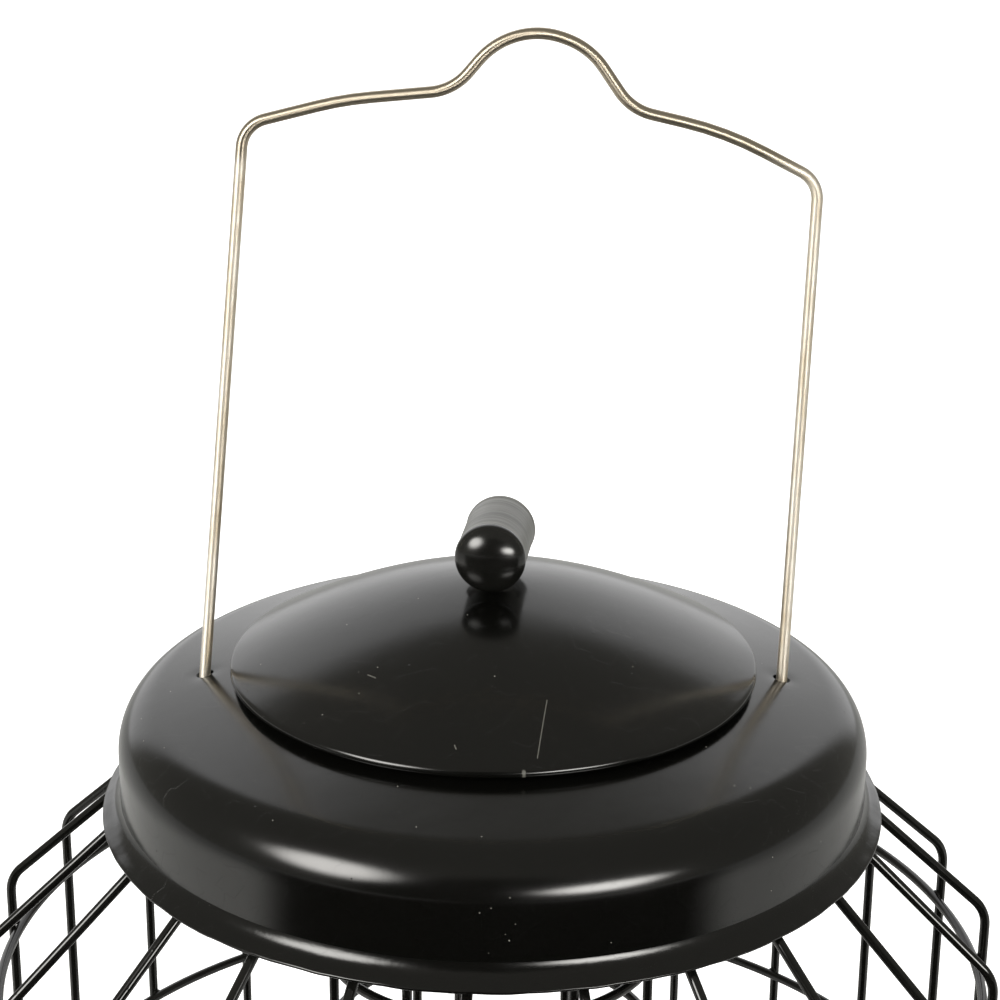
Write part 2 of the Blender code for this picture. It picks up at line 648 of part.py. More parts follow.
def main():
    """Build the whole feeder."""
    clear_scene()
    parts = collection("caged_tube_bird_feeder")
    cutters = collection("cutters")
    build_tray(parts, cutters)
    build_cage(parts)
    build_tube(parts)
    build_roof(parts, cutters)
    build_lid(parts, cutters)
    build_bail(parts)


main()
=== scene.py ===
"""Caged tube bird feeder, dressed for its photograph.

The CAD frame gives each piece its place, and the classes here build a finer piece over each node:
pressed sheet with rounded edges and dished holes, drawn wire with its weld beads, a moulded handle and the
zinc plated lock under the lid. Sizes are in millimetres in the classes and become metres in Shape.to_object.
The shared frame has +Z up, -Y to the front, and its origin under the middle of the tray.
"""

import sys

import logging
import math
from collections.abc import Callable, Iterable, Sequence
from dataclasses import dataclass, field
from enum import Enum

import bmesh
import bpy
import numpy as np
from mathutils import Matrix, Vector


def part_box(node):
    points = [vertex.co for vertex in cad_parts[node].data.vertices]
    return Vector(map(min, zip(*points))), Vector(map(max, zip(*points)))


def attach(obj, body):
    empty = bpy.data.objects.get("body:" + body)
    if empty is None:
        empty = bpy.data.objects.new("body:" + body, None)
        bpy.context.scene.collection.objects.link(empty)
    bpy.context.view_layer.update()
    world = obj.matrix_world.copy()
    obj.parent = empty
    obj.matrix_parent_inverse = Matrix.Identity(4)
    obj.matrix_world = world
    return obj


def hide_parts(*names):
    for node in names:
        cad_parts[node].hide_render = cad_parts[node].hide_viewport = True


MM = 0.001
CRISP = math.radians(38.0)
WIRE_MAP = "wire_run"

log = logging.getLogger("feeder")

Point = tuple[float, float, float]
Section = Sequence[Sequence[float]] | np.ndarray
Warp = Callable[[np.ndarray], np.ndarray]


# Colours, scales and choices that the classes share


def linear(code: str) -> tuple[float, float, float, float]:
    """Turn an sRGB hex colour into linear red, green, blue and an alpha of one.

    Args:
        code: Six hex digits, with or without a leading hash.

    Returns:
        The colour as a shader socket takes it.
    """
    digits = code.lstrip("#")
    values = [int(digits[i:i + 2], 16) / 255.0 for i in (0, 2, 4)]
    return (*(v / 12.92 if v <= 0.04045 else ((v + 0.055) / 1.055) ** 2.4 for v in values), 1.0)


def per_metre(millimetres: float) -> float:
    """Texture scale that repeats a pattern once in a number of millimetres."""
    return 1.0 / (millimetres * MM)


class Around(Enum):
    """Whether a section or a path runs back to its start."""

    OPEN = False
    CLOSED = True


class Body(Enum):
    """The moving bodies of the CAD frame."""

    FRAME = "frame"
    LID = "lid"
    HANDLE = "handle"
    BAIL = "bail"


class Slot(Enum):
    """The record's material slots."""

    ROOF = "roof_enamel"
    TRAY = "tray_enamel"
    LID = "lid_enamel"
    CAGE = "cage_wire"
    TUBE = "tube_wire"
    BAIL = "bail_stainless"
    ZINC = "zinc_steel"
    HANDLE = "handle_gloss"
    SEAL = "seal_rubber"


# Shader building


class Network:
    """Node network of one material or of the world."""

    def __init__(self, owner: bpy.types.Material | bpy.types.World) -> None:
        """Start with the owner's node tree, emptied."""
        owner.use_nodes = True
        self.owner = owner
        self.tree = owner.node_tree
        self.tree.nodes.clear()

    def add(self, kind: str, *values: object, **named: object) -> bpy.types.Node:
        """Add a shader node, set its properties, and fill or link its inputs.

        A node that is given as a value stands for its first output in use.

        Args:
            kind: Blender's name of the node type, without the leading ShaderNode.
            values: Values for the first inputs, in order.
            named: Properties in lower case, and inputs with a capital and with _ for a space.

        Returns:
            The new node.
        """
        node = self.tree.nodes.new("ShaderNode" + kind)
        inputs: dict[str | int, object] = dict(enumerate(values))
        for key, value in named.items():
            if key[0].islower():
                setattr(node, key, value)
            else:
                inputs[key.replace("_", " ")] = value
        for key, value in inputs.items():
            if isinstance(value, bpy.types.Node):
                value = next(output for output in value.outputs if output.enabled)
            if isinstance(value, bpy.types.NodeSocket):
                self.tree.links.new(value, node.inputs[key])
            else:
                node.inputs[key].default_value = value
        return node

    def relief(self, *layers: tuple[bpy.types.Node, float]) -> bpy.types.Node:
        """Lay layers of relief over one another.

        Args:
            layers: The height and the depth in millimetres of each layer, the lowest first.

        Returns:
            The node whose normal holds them all.
        """
        under: dict[str, object] = {}
        for height, depth in layers:
            under = {"Normal": self.add("Bump", Height=height, Distance=depth * MM, Strength=1.0, **under)}
        return under["Normal"]

    def surface(self, shader: bpy.types.Node) -> bpy.types.Material:
        """Give the material its surface shader and return the material."""
        self.add("OutputMaterial", shader)
        return self.owner


@dataclass(frozen=True)
class Hairline:
    """A fine scratch or a round mark on a painted face, seen from above, from start to end in millimetres."""

    start: tuple[float, float]
    end: tuple[float, float]
    width: float = 0.16


@dataclass(frozen=True)
class StoveEnamel:
    """Gloss black stove enamel, sprayed and baked on pressed mild steel.

    Sprayed enamel levels almost flat, so it mirrors the room in soft-edged shapes. It keeps a faint orange
    peel about 2 mm across, dust nibs a few tenths of a millimetre wide, the slow waves of the pressing and
    the small wrinkles of its flared edge.
    """

    name: str
    colour: str = "#060605"
    dust: str = "#85847C"
    roughness: float = 0.15
    smeared: float = 0.05
    spoiled: float = 0.4
    ior: float = 1.5
    peel: float = 2.3
    peel_height: float = 0.005
    wave: float = 15.0
    wave_height: float = 0.045
    smear: float = 26.0
    wrinkle: float = 2.2
    wrinkle_height: float = 0.03
    wrinkle_blend: float = 0.8
    wrinkled_below: float = 0.0
    nib_spacing: float = 4.2
    nib_reach: float = 0.085
    nib_height: float = 0.05
    speck_spacing: float = 3.1
    speck_reach: tuple[float, float] = (0.022, 0.06)
    speck_limit: float = 0.82
    marks: tuple[Hairline, ...] = ()

    def build(self) -> bpy.types.Material:
        """Make the enamel's node material.

        Returns:
            The material.
        """
        net = Network(bpy.data.materials.new(self.name))
        place = net.add("TexCoord").outputs["Object"]
        peel = net.add("TexNoise", Vector=place, Scale=per_metre(self.peel), Detail=2.0, Roughness=0.4)
        waves = net.add("TexNoise", Vector=place, Scale=per_metre(self.wave), Detail=1.0, Roughness=0.35)
        smears = net.add("TexNoise", Vector=place, Scale=per_metre(self.smear), Detail=5.0, Roughness=0.62,
                         Distortion=1.2)

        cells = net.add("TexVoronoi", Vector=place, Scale=per_metre(self.nib_spacing), feature="F1")
        pick = net.add("SeparateColor", cells.outputs["Color"])
        reach = net.add("MapRange", pick, 0.45, 1.0, 0.0, self.nib_reach)
        nib = net.add("Math", cells, reach, operation="DIVIDE", use_clamp=True)
        nib = net.add("Math", 1.0, nib, operation="SUBTRACT", use_clamp=True)

        cells = net.add("TexVoronoi", Vector=place, Scale=per_metre(self.speck_spacing), feature="F1")
        pick = net.add("SeparateColor", cells.outputs["Color"])
        chosen = net.add("Math", pick.outputs[1], self.speck_limit, operation="GREATER_THAN")
        speck = net.add("MapRange", cells, *self.speck_reach, 1.0, 0.0, interpolation_type="SMOOTHSTEP")
        speck = net.add("Math", speck, chosen, operation="MULTIPLY")
        spoiled = net.add("Math", speck, self._marks(net, place), operation="MAXIMUM")
        colour = net.add("Mix", Factor=spoiled, A=linear(self.colour), B=linear(self.dust), data_type="RGBA")
        gloss = net.add("MapRange", smears, 0.35, 0.72, self.roughness, self.roughness + self.smeared)
        gloss = net.add("Math", spoiled, self.spoiled, gloss, operation="MULTIPLY_ADD", use_clamp=True)

        height = net.add("SeparateXYZ", place).outputs["Z"]
        smooth = self.wrinkled_below
        flange = net.add("MapRange", height, (smooth - self.wrinkle_blend) * MM, smooth * MM, 1.0, 0.0)
        wrinkles = net.add("TexNoise", Vector=place, Scale=per_metre(self.wrinkle), Detail=2.0, Roughness=0.5)
        wrinkles = net.add("Math", wrinkles, flange, operation="MULTIPLY")
        relief = net.relief((waves, self.wave_height), (wrinkles, self.wrinkle_height), (peel, self.peel_height),
                            (nib, self.nib_height))
        return net.surface(net.add("BsdfPrincipled", Base_Color=colour, Roughness=gloss, IOR=self.ior,
                                   Normal=relief))

    def _marks(self, net: Network, place: bpy.types.NodeSocket) -> bpy.types.Node | float:
        """Join the hairlines into one mask.

        Args:
            net: The material's network.
            place: The object coordinates.

        Returns:
            The mask's node, or zero where the face has no marks.
        """
        mask: bpy.types.Node | float = 0.0
        plan = net.add("VectorMath", place, (1.0, 1.0, 0.0), operation="MULTIPLY")
        for mark in self.marks:
            start = Vector((*mark.start, 0.0)) * MM
            along = Vector((*mark.end, 0.0)) * MM - start
            away = net.add("VectorMath", plan, start, operation="SUBTRACT")
            share = net.add("VectorMath", away, along / along.length_squared, operation="DOT_PRODUCT")
            foot = net.add("VectorMath", along, Scale=net.add("Clamp", share), operation="SCALE")
            gap = net.add("VectorMath", away, foot, operation="DISTANCE")
            line = net.add("MapRange", gap, mark.width * 0.35 * MM, mark.width * MM, 0.35, 0.0,
                           interpolation_type="SMOOTHSTEP")
            mask = net.add("Math", line, mask, operation="MAXIMUM")
        return mask


@dataclass(frozen=True)
class DippedEnamel:
    """Black enamel, dipped and baked on drawn mild steel wire.

    A dipped film is thicker and a little wavy along the wire, so the long white highlight on it wanders and
    breaks at small runs and nibs. The nibs are drawn a little coarser than real, so that they show.
    """

    name: str
    colour: str = "#050504"
    shade: str = "#10100E"
    roughness: float = 0.06
    patch_roughness: float = 0.12
    ior: float = 1.5
    run_length: float = 7.0
    run_height: float = 0.03
    nib_spacing: float = 2.6
    nib_reach: tuple[float, float] = (0.02, 0.16)
    nib_height: float = 0.02
    patch: float = 12.0

    def build(self) -> bpy.types.Material:
        """Make the enamel's node material.

        Returns:
            The material.
        """
        net = Network(bpy.data.materials.new(self.name))
        place = net.add("TexCoord").outputs["Object"]
        runs = net.add("TexNoise", Vector=place, Scale=per_metre(self.run_length), Detail=3.0, Roughness=0.5)
        cells = net.add("TexVoronoi", Vector=place, Scale=per_metre(self.nib_spacing), feature="F1")
        nib = net.add("MapRange", cells, *self.nib_reach, 1.0, 0.0, interpolation_type="SMOOTHSTEP")
        patches = net.add("TexNoise", Vector=place, Scale=per_metre(self.patch), Detail=4.0, Roughness=0.6)
        gloss = net.add("MapRange", patches, 0.3, 0.75, self.roughness, self.roughness + self.patch_roughness)
        tint = net.add("Mix", Factor=patches, A=linear(self.colour), B=linear(self.shade), data_type="RGBA")
        relief = net.relief((runs, self.run_height), (nib, self.nib_height))
        return net.surface(net.add("BsdfPrincipled", Base_Color=tint, Roughness=gloss, IOR=self.ior,
                                   Normal=relief))


@dataclass(frozen=True)
class DrawnStainless:
    """Bright stainless wire, ground between wheels, drawn through a die and bent cold.

    The grinding marks run round the wire, so each lamp pulls out into a long cream streak beside brown-grey
    shadows, and the die leaves fine lines along it, drawn about 0.2 mm apart, coarser than real, so that they
    show. The top bends get a darker colour as painted shade, with less roughness and more anisotropy there.
    """

    name: str = "drawn bright stainless wire"
    colour: str = "#FFF9EE"
    shade: str = "#DDCFB6"
    stain: tuple[float, float] = (3.0, 16.0)
    # Painted shade: the darker colour of the top bends.
    painted_shade_top: str = "#C4B9A6"
    painted_shade_from: tuple[float, float] = (381.0, 386.0)
    roughness: float = 0.52
    top_roughness: float = 0.37
    line: float = 0.22
    line_length: float = 15.4
    line_height: float = 0.002
    line_roughness: float = 0.14
    stretch: float = 0.64
    top_stretch: float = 0.84

    def build(self) -> bpy.types.Material:
        """Make the wire's node material, with its pattern laid along the wire's own run.

        Returns:
            The material.
        """
        net = Network(bpy.data.materials.new(self.name))
        run = net.add("UVMap", uv_map=WIRE_MAP)
        around = net.add("Tangent", direction_type="UV_MAP", uv_map=WIRE_MAP)
        drawn = net.add("Mapping", run, Scale=(per_metre(self.line), per_metre(self.line_length), 1.0))
        lines = net.add("TexNoise", Vector=drawn, Scale=1.0, Detail=3.0, Roughness=0.65, noise_dimensions="2D")
        patch = net.add("Mapping", run, Scale=(*map(per_metre, self.stain), 1.0))
        stain = net.add("TexNoise", Vector=patch, Scale=1.0, Detail=4.0, Roughness=0.6, noise_dimensions="2D")
        blend = net.add("MapRange", stain, 0.38, 0.7, 0.0, 1.0)
        colour = net.add("Mix", Factor=blend, A=linear(self.colour), B=linear(self.shade), data_type="RGBA")
        height = net.add("SeparateXYZ", net.add("TexCoord").outputs["Object"]).outputs["Z"]
        # Painted shade: from about 381 mm up, the top bends darken. There the wire also gets less roughness and more
        # stretch.
        low, high = (level * MM for level in self.painted_shade_from)
        top_bends = net.add("MapRange", height, low, high, 0.0, 1.0, interpolation_type="SMOOTHSTEP")
        colour = net.add("Mix", Factor=top_bends, A=colour, B=linear(self.painted_shade_top), data_type="RGBA")
        gloss = net.add("MapRange", lines, 0.3, 0.75, self.roughness, self.roughness + self.line_roughness)
        gloss = net.add("Math", top_bends, self.top_roughness - self.roughness, gloss, operation="MULTIPLY_ADD")
        stretch = net.add("MapRange", top_bends, 0.0, 1.0, self.stretch, self.top_stretch)
        return net.surface(net.add("BsdfPrincipled", Base_Color=colour, Metallic=1.0, Roughness=gloss,
                                   Anisotropic=stretch, Anisotropic_Rotation=0.25, Tangent=around,
                                   Normal=net.relief((lines, self.line_height))))


@dataclass(frozen=True)
class MouldedPlastic:
    """Black moulded plastic for the handle: polished at the ball ends, turned rings along the barrel.

    The mould was turned, so its rings stay on the barrel and soften what it mirrors, while the polished ends
    mirror the lamps crisply. The rings are drawn about 1.3 mm apart, coarser than real, so that they show. A pale
    scuff along them is partly scuffing and partly painted sheen, which lightens the barrel.
    """

    name: str = "moulded black plastic"
    colour: str = "#080807"
    shade: str = "#121210"
    # Partly painted sheen: a pale scuff colour that lightens the barrel.
    scuff_and_sheen: str = "#6C6C68"
    scuff_and_sheen_share: float = 1.5
    roughness: float = 0.14
    barrel_roughness: float = 0.34
    wear_roughness: float = 0.08
    ior: float = 1.53
    ring: float = 1.3
    ring_arc: float = 60.0
    ring_height: float = 0.10
    barrel_reach: float = 9.1
    barrel_blend: float = 0.5
    wear: float = 3.5
    wear_height: float = 0.006

    def build(self) -> bpy.types.Material:
        """Make the plastic's node material, whose rings run along the handle's own length.

        Returns:
            The material.
        """
        net = Network(bpy.data.materials.new(self.name))
        place = net.add("TexCoord").outputs["Object"]
        run = net.add("UVMap", uv_map=WIRE_MAP)
        reach = net.add("Math", net.add("SeparateXYZ", run).outputs["Y"], operation="ABSOLUTE")
        inside, outside = (self.barrel_reach - self.barrel_blend) * MM, self.barrel_reach * MM
        barrel = net.add("MapRange", reach, inside, outside, 1.0, 0.0, interpolation_type="SMOOTHSTEP")
        turned = net.add("Mapping", run, Scale=(per_metre(self.ring_arc), per_metre(self.ring), 1.0))
        rings = net.add("TexNoise", Vector=turned, Scale=1.0, Detail=3.0, Roughness=0.6, noise_dimensions="2D")
        rings = net.add("Math", rings, barrel, operation="MULTIPLY")
        wear = net.add("TexNoise", Vector=place, Scale=per_metre(self.wear), Detail=5.0, Roughness=0.65)
        gloss = net.add("MapRange", barrel, 0.0, 1.0, self.roughness, self.barrel_roughness)
        gloss = net.add("Math", wear, self.wear_roughness, gloss, operation="MULTIPLY_ADD")
        tint = net.add("Mix", Factor=wear, A=linear(self.colour), B=linear(self.shade), data_type="RGBA")
        # Partly painted sheen: the pale scuff colour along the rings lightens the whole barrel.
        scuff_and_sheen_mask = net.add("Math", rings, self.scuff_and_sheen_share, operation="MULTIPLY", use_clamp=True)
        tint = net.add("Mix", Factor=scuff_and_sheen_mask, A=tint, B=linear(self.scuff_and_sheen), data_type="RGBA")
        relief = net.relief((rings, self.ring_height), (wear, self.wear_height))
        return net.surface(net.add("BsdfPrincipled", Base_Color=tint, Roughness=gloss, IOR=self.ior,
                                   Normal=relief))


@dataclass(frozen=True)
class ZincPlate:
    """Bright zinc, barrel plated on small steel parts: a cool grey metal with a cloudy, slightly rough skin."""

    name: str = "bright zinc plate"
    colour: str = "#BFC2C6"
    shade: str = "#8E9297"
    roughness: float = 0.24
    cloud_roughness: float = 0.2
    cloud: float = 2.4
    grain: float = 0.5
    grain_height: float = 0.006

    def build(self) -> bpy.types.Material:
        """Make the plate's node material.

        Returns:
            The material.
        """
        net = Network(bpy.data.materials.new(self.name))
        place = net.add("TexCoord").outputs["Object"]
        cloud = net.add("TexNoise", Vector=place, Scale=per_metre(self.cloud), Detail=6.0, Roughness=0.7)
        grain = net.add("TexNoise", Vector=place, Scale=per_metre(self.grain), Detail=2.0, Roughness=0.5)
        colour = net.add("Mix", Factor=cloud, A=linear(self.colour), B=linear(self.shade), data_type="RGBA")
        gloss = net.add("MapRange", cloud, 0.3, 0.7, self.roughness, self.roughness + self.cloud_roughness)
        return net.surface(net.add("BsdfPrincipled", Base_Color=colour, Metallic=1.0, Roughness=gloss,
                                   Normal=net.relief((grain, self.grain_height))))


@dataclass(frozen=True)
class SealRubber:
    """Black seal rubber, moulded: a dull dark grey skin with a fine grain and a pale bloom in places."""

    name: str = "moulded seal rubber"
    colour: str = "#161615"
    bloomed: str = "#2B2B29"
    roughness: float = 0.55
    bloom_roughness: float = 0.2
    bloom: float = 4.0
    grain: float = 0.6
    grain_height: float = 0.02

    def build(self) -> bpy.types.Material:
        """Make the rubber's node material.

        Returns:
            The material.
        """
        net = Network(bpy.data.materials.new(self.name))
        place = net.add("TexCoord").outputs["Object"]
        grain = net.add("TexNoise", Vector=place, Scale=per_metre(self.grain), Detail=4.0, Roughness=0.6)
        bloom = net.add("TexNoise", Vector=place, Scale=per_metre(self.bloom), Detail=3.0, Roughness=0.6)
        colour = net.add("Mix", Factor=bloom, A=linear(self.colour), B=linear(self.bloomed), data_type="RGBA")
        gloss = net.add("MapRange", bloom, 0.3, 0.7, self.roughness, self.roughness + self.bloom_roughness)
        return net.surface(net.add("BsdfPrincipled", Base_Color=colour, Roughness=gloss,
                                   Normal=net.relief((grain, self.grain_height))))


# Mesh building


@dataclass
class Shape:
    """Points, faces and a map of one piece in the making, all in millimetres.

    The map gives each face corner its way round the piece and its way along it, for patterns that follow
    a wire or a barrel.
    """

    points: np.ndarray
    faces: list[tuple[int, ...]]
    run: list[tuple[float, float]] = field(default_factory=list)

    @staticmethod
    def joined(shapes: Iterable["Shape"]) -> "Shape":
        """Put several shapes into one.

        Args:
            shapes: The shapes to join.

        Returns:
            One shape that holds them all.
        """
        points: list[np.ndarray] = []
        faces: list[tuple[int, ...]] = []
        run: list[tuple[float, float]] = []
        count = 0
        for shape in shapes:
            points.append(shape.points)
            faces += [tuple(i + count for i in face) for face in shape.faces]
            run += shape.run or [(0.0, 0.0)] * sum(len(face) for face in shape.faces)
            count += len(shape.points)
        return Shape(np.concatenate(points), faces, run)

    def warped(self, warp: Warp) -> "Shape":
        """Move every point by a function of its place.

        Args:
            warp: Takes and returns an array of points.

        Returns:
            The warped shape.
        """
        return Shape(warp(self.points), self.faces, self.run)

    def turned(self, matrix: Matrix) -> "Shape":
        """Turn and shift every point by a matrix, in millimetres."""
        turn = np.array(matrix)
        return Shape(self.points @ turn[:3, :3].T + turn[:3, 3], self.faces, self.run)

    def to_object(self, name: str) -> bpy.types.Object:
        """Make a Blender object in metres, shaded smooth with its sharp edges kept.

        Args:
            name: The object's name.

        Returns:
            The object, linked to the scene.
        """
        mesh = bpy.data.meshes.new(name)
        mesh.from_pydata((self.points * MM).tolist(), [], self.faces)
        if self.run:
            layer = mesh.uv_layers.new(name=WIRE_MAP)
            layer.data.foreach_set("uv", (np.array(self.run) * MM).ravel())
        mesh.validate()
        mesh.shade_smooth()
        mesh.set_sharp_from_angle(angle=CRISP)
        return linked_object(name, mesh)


def linked_object(name: str, data: bpy.types.ID) -> bpy.types.Object:
    """Object for a mesh or a camera, linked to the scene."""
    made = bpy.data.objects.new(name, data)
    bpy.context.scene.collection.objects.link(made)
    return made


def rounded_path(corners: Sequence[Sequence[float]], bends: Sequence[float], pace: float,
                 arc_step: float = 7.5) -> np.ndarray:
    """Points along straight runs, with each inner corner rounded to its bend radius.

    Args:
        corners: The corner points, in two or three dimensions.
        bends: The bend radius of each inner corner.
        pace: Longest distance between points on a straight run.
        arc_step: Largest turn between points on a bend, in degrees.

    Returns:
        The points, one row each.
    """
    spots = [np.array(c, float) for c in corners]
    path = [spots[0]]

    def straight_to(end: np.ndarray) -> None:
        """Add evenly spaced points up to an end point."""
        start = path[-1]
        steps = max(1, math.ceil(float(np.linalg.norm(end - start)) / pace))
        path.extend(start + (end - start) * i / steps for i in range(1, steps + 1))

    for i in range(1, len(spots) - 1):
        before = (spots[i - 1] - spots[i]) / np.linalg.norm(spots[i - 1] - spots[i])
        after = (spots[i + 1] - spots[i]) / np.linalg.norm(spots[i + 1] - spots[i])
        half = math.acos(float(np.clip(before @ after, -1.0, 1.0))) / 2.0
        reach = bends[i - 1] / math.tan(half)
        middle = spots[i] + (before + after) / np.linalg.norm(before + after) * bends[i - 1] / math.sin(half)
        start, end = spots[i] + before * reach - middle, spots[i] + after * reach - middle
        sweep = math.pi - 2.0 * half
        steps = max(3, math.ceil(math.degrees(sweep) / arc_step))
        straight_to(middle + start)
        for step in range(1, steps + 1):
            share = step / steps
            path.append(middle + (start * math.sin((1.0 - share) * sweep) + end * math.sin(share * sweep))
                        / math.sin(sweep))
    straight_to(spots[-1])
    return np.array(path)


def polar(points: np.ndarray) -> tuple[np.ndarray, np.ndarray]:
    """Distances of points from the Z axis, and their directions round it in radians."""
    return np.hypot(points[:, 0], points[:, 1]), np.arctan2(points[:, 1], points[:, 0])


def sheet_back(face: np.ndarray, thickness: float) -> tuple[np.ndarray, np.ndarray]:
    """Direction of the run along a sheet's face at each point, and the sheet's other face to its right."""
    run = np.gradient(face, axis=0)
    run /= np.linalg.norm(run, axis=1)[:, None]
    return run, face + np.stack([run[:, 1], -run[:, 0]], axis=1) * thickness


def sheet_section(face: np.ndarray, thickness: float) -> Section:
    """Closed section of a sheet from its outer face, with both edges rounded.

    Args:
        face: The outer face as rows of radius and height, with the metal to its right.
        thickness: The sheet's thickness.

    Returns:
        The section's corners in order.
    """
    run, back = sheet_back(face, thickness)

    def edge(at: int, ahead: float) -> list[np.ndarray]:
        """Half-round edge at one end of the sheet, bulging along its run."""
        middle = (face[at] + back[at]) / 2.0
        out = run[at] * ahead
        turns = np.linspace(0.0, math.pi, 7)[1:-1]
        return [middle + (face[at] - middle) * math.cos(t) + out * thickness / 2.0 * math.sin(t) for t in turns]

    return [*face, *edge(-1, 1.0), *back[::-1], *edge(0, -1.0)[::-1]]


def lathe(section: Section, steps: int, around: Around = Around.CLOSED) -> Shape:
    """Turn a section of radius and height about the Z axis.

    Args:
        section: The section's points. A radius of zero becomes one point on the axis.
        steps: Number of steps round the axis.
        around: Whether the section closes on itself.

    Returns:
        The turned shape.
    """
    section = [(float(radius), float(height)) for radius, height in section]
    turns = np.arange(steps) * math.tau / steps
    points: list[tuple[float, float, float]] = []
    rows: list[list[int]] = []
    for radius, height in section:
        first = len(points)
        if radius <= 1e-6:
            points.append((0.0, 0.0, height))
            rows.append([first] * steps)
        else:
            points += [(radius * math.cos(t), radius * math.sin(t), height) for t in turns]
            rows.append([first + i for i in range(steps)])
    lengths = np.concatenate([[0.0], np.cumsum([math.dist(a, b) for a, b in zip(section, section[1:])])])
    pairs = list(zip(rows, rows[1:], lengths, lengths[1:]))
    if around is Around.CLOSED:
        pairs.append((rows[-1], rows[0], lengths[-1], lengths[-1] + math.dist(section[-1], section[0])))
    faces: list[tuple[int, ...]] = []
    run: list[tuple[float, float]] = []
    for low, high, start, end in pairs:
        for i in range(steps):
            j = (i + 1) % steps
            corners = [(low[i], i, start), (low[j], i + 1, start), (high[j], i + 1, end), (high[i], i, end)]
            kept = [c for k, c in enumerate(corners) if c[0] != corners[k - 1][0]]
            if len({c[0] for c in kept}) > 2:
                faces.append(tuple(c[0] for c in kept))
                run += [(c[1] / steps * 100.0, float(c[2])) for c in kept]
    return Shape(np.array(points), faces, run)


def swept_wire(path: np.ndarray, radius: float, sides: int, around: Around = Around.OPEN) -> Shape:
    """Round wire along a path, its open ends slightly rounded as a sheared wire's are.

    Args:
        path: Points along the wire's middle.
        radius: The wire's radius.
        sides: Number of faces round the wire.
        around: Whether the path closes on itself.

    Returns:
        The wire's shape, mapped round and along.
    """
    closed = around is Around.CLOSED
    spots, radii = path, np.full(len(path), radius)
    if not closed:
        tip = 0.45
        eases = np.array([0.0, 0.25, 0.6])
        lead, trail = path[1] - path[0], path[-2] - path[-1]
        lead, trail = lead / np.linalg.norm(lead), trail / np.linalg.norm(trail)
        ends = radius - tip * (1.0 - np.sqrt(1.0 - (1.0 - eases) ** 2))
        spots = np.concatenate([path[0] + np.outer(eases, lead) * tip, [path[0] + lead * tip], path[1:-1],
                                [path[-1] + trail * tip], path[-1] + np.outer(eases[::-1], trail) * tip])
        radii = np.concatenate([ends, np.full(len(path), radius), ends[::-1]])
    ahead = np.roll(spots, -1, axis=0) - np.roll(spots, 1, axis=0) if closed else np.gradient(spots, axis=0)
    ahead /= np.linalg.norm(ahead, axis=1)[:, None]
    side = np.cross(ahead[0], [0.0, 0.0, 1.0])
    if np.linalg.norm(side) < 1e-3:
        side = np.cross(ahead[0], [0.0, 1.0, 0.0])
    sides_out = []
    for direction in ahead:
        side = side - direction * (side @ direction)
        side /= np.linalg.norm(side)
        sides_out.append(side)
    across = np.array(sides_out)
    up = np.cross(across, ahead)
    turns = np.arange(sides) * math.tau / sides
    rings = (spots[:, None] + radii[:, None, None] * (across[:, None] * np.cos(turns)[None, :, None]
                                                      + up[:, None] * np.sin(turns)[None, :, None]))
    count = len(spots)
    lengths = np.concatenate([[0.0], np.cumsum(np.linalg.norm(np.diff(spots, axis=0), axis=1))])
    closing = float(np.linalg.norm(spots[0] - spots[-1]))
    girth = math.tau * radius
    faces: list[tuple[int, ...]] = []
    run: list[tuple[float, float]] = []
    for i in range(count if closed else count - 1):
        j = (i + 1) % count
        start, end = lengths[i], lengths[j] if j else lengths[i] + closing
        for k in range(sides):
            m = (k + 1) % sides
            faces.append((i * sides + k, i * sides + m, j * sides + m, j * sides + k))
            run += [(girth * k / sides, start), (girth * (k + 1) / sides, start),
                    (girth * (k + 1) / sides, end), (girth * k / sides, end)]
    if not closed:
        for ring, at in ((range(sides - 1, -1, -1), 0), (range(sides), count - 1)):
            faces.append(tuple(at * sides + k for k in ring))
            run += [(girth * k / sides, lengths[at]) for k in ring]
    return Shape(rings.reshape(-1, 3), faces, run)


def level_ring(radius: float, height: float, steps: int) -> np.ndarray:
    """Points round a level circle."""
    turns = np.arange(steps) * math.tau / steps
    return np.stack([radius * np.cos(turns), radius * np.sin(turns), np.full(steps, height)], axis=1)


def weld_bead(middle: Point, turn: float, reach: Point) -> Shape:
    """Small squashed bead of metal where two wires are welded across each other.

    Args:
        middle: The bead's middle.
        turn: Angle of the bead's outward axis about Z, in radians.
        reach: Its half sizes outward, round the cage and upward.

    Returns:
        The bead's shape.
    """
    rows = [(math.sin(math.pi * i / 6), math.cos(math.pi * i / 6)) for i in range(7)]
    ball = lathe(rows, 10, Around.OPEN)
    size = Matrix.Diagonal((*reach, 1.0))
    return ball.turned(Matrix.Translation(middle) @ Matrix.Rotation(turn, 4, "Z") @ size)


def bevelled_block(size: Point, edge: float) -> Shape:
    """Box with its edges rounded off.

    Args:
        size: Width, depth and height.
        edge: Radius of the rounding.

    Returns:
        The block's shape, centred on the origin.
    """
    mesh = bmesh.new()
    bmesh.ops.create_cube(mesh, size=1.0, matrix=Matrix.Diagonal((*size, 1.0)))
    bmesh.ops.bevel(mesh, geom=mesh.edges[:], offset=edge, segments=2, profile=0.5, affect="EDGES")
    mesh.verts.ensure_lookup_table()
    points = np.array([v.co for v in mesh.verts])
    faces = [tuple(v.index for v in f.verts) for f in mesh.faces]
    mesh.free()
    return Shape(points, faces)


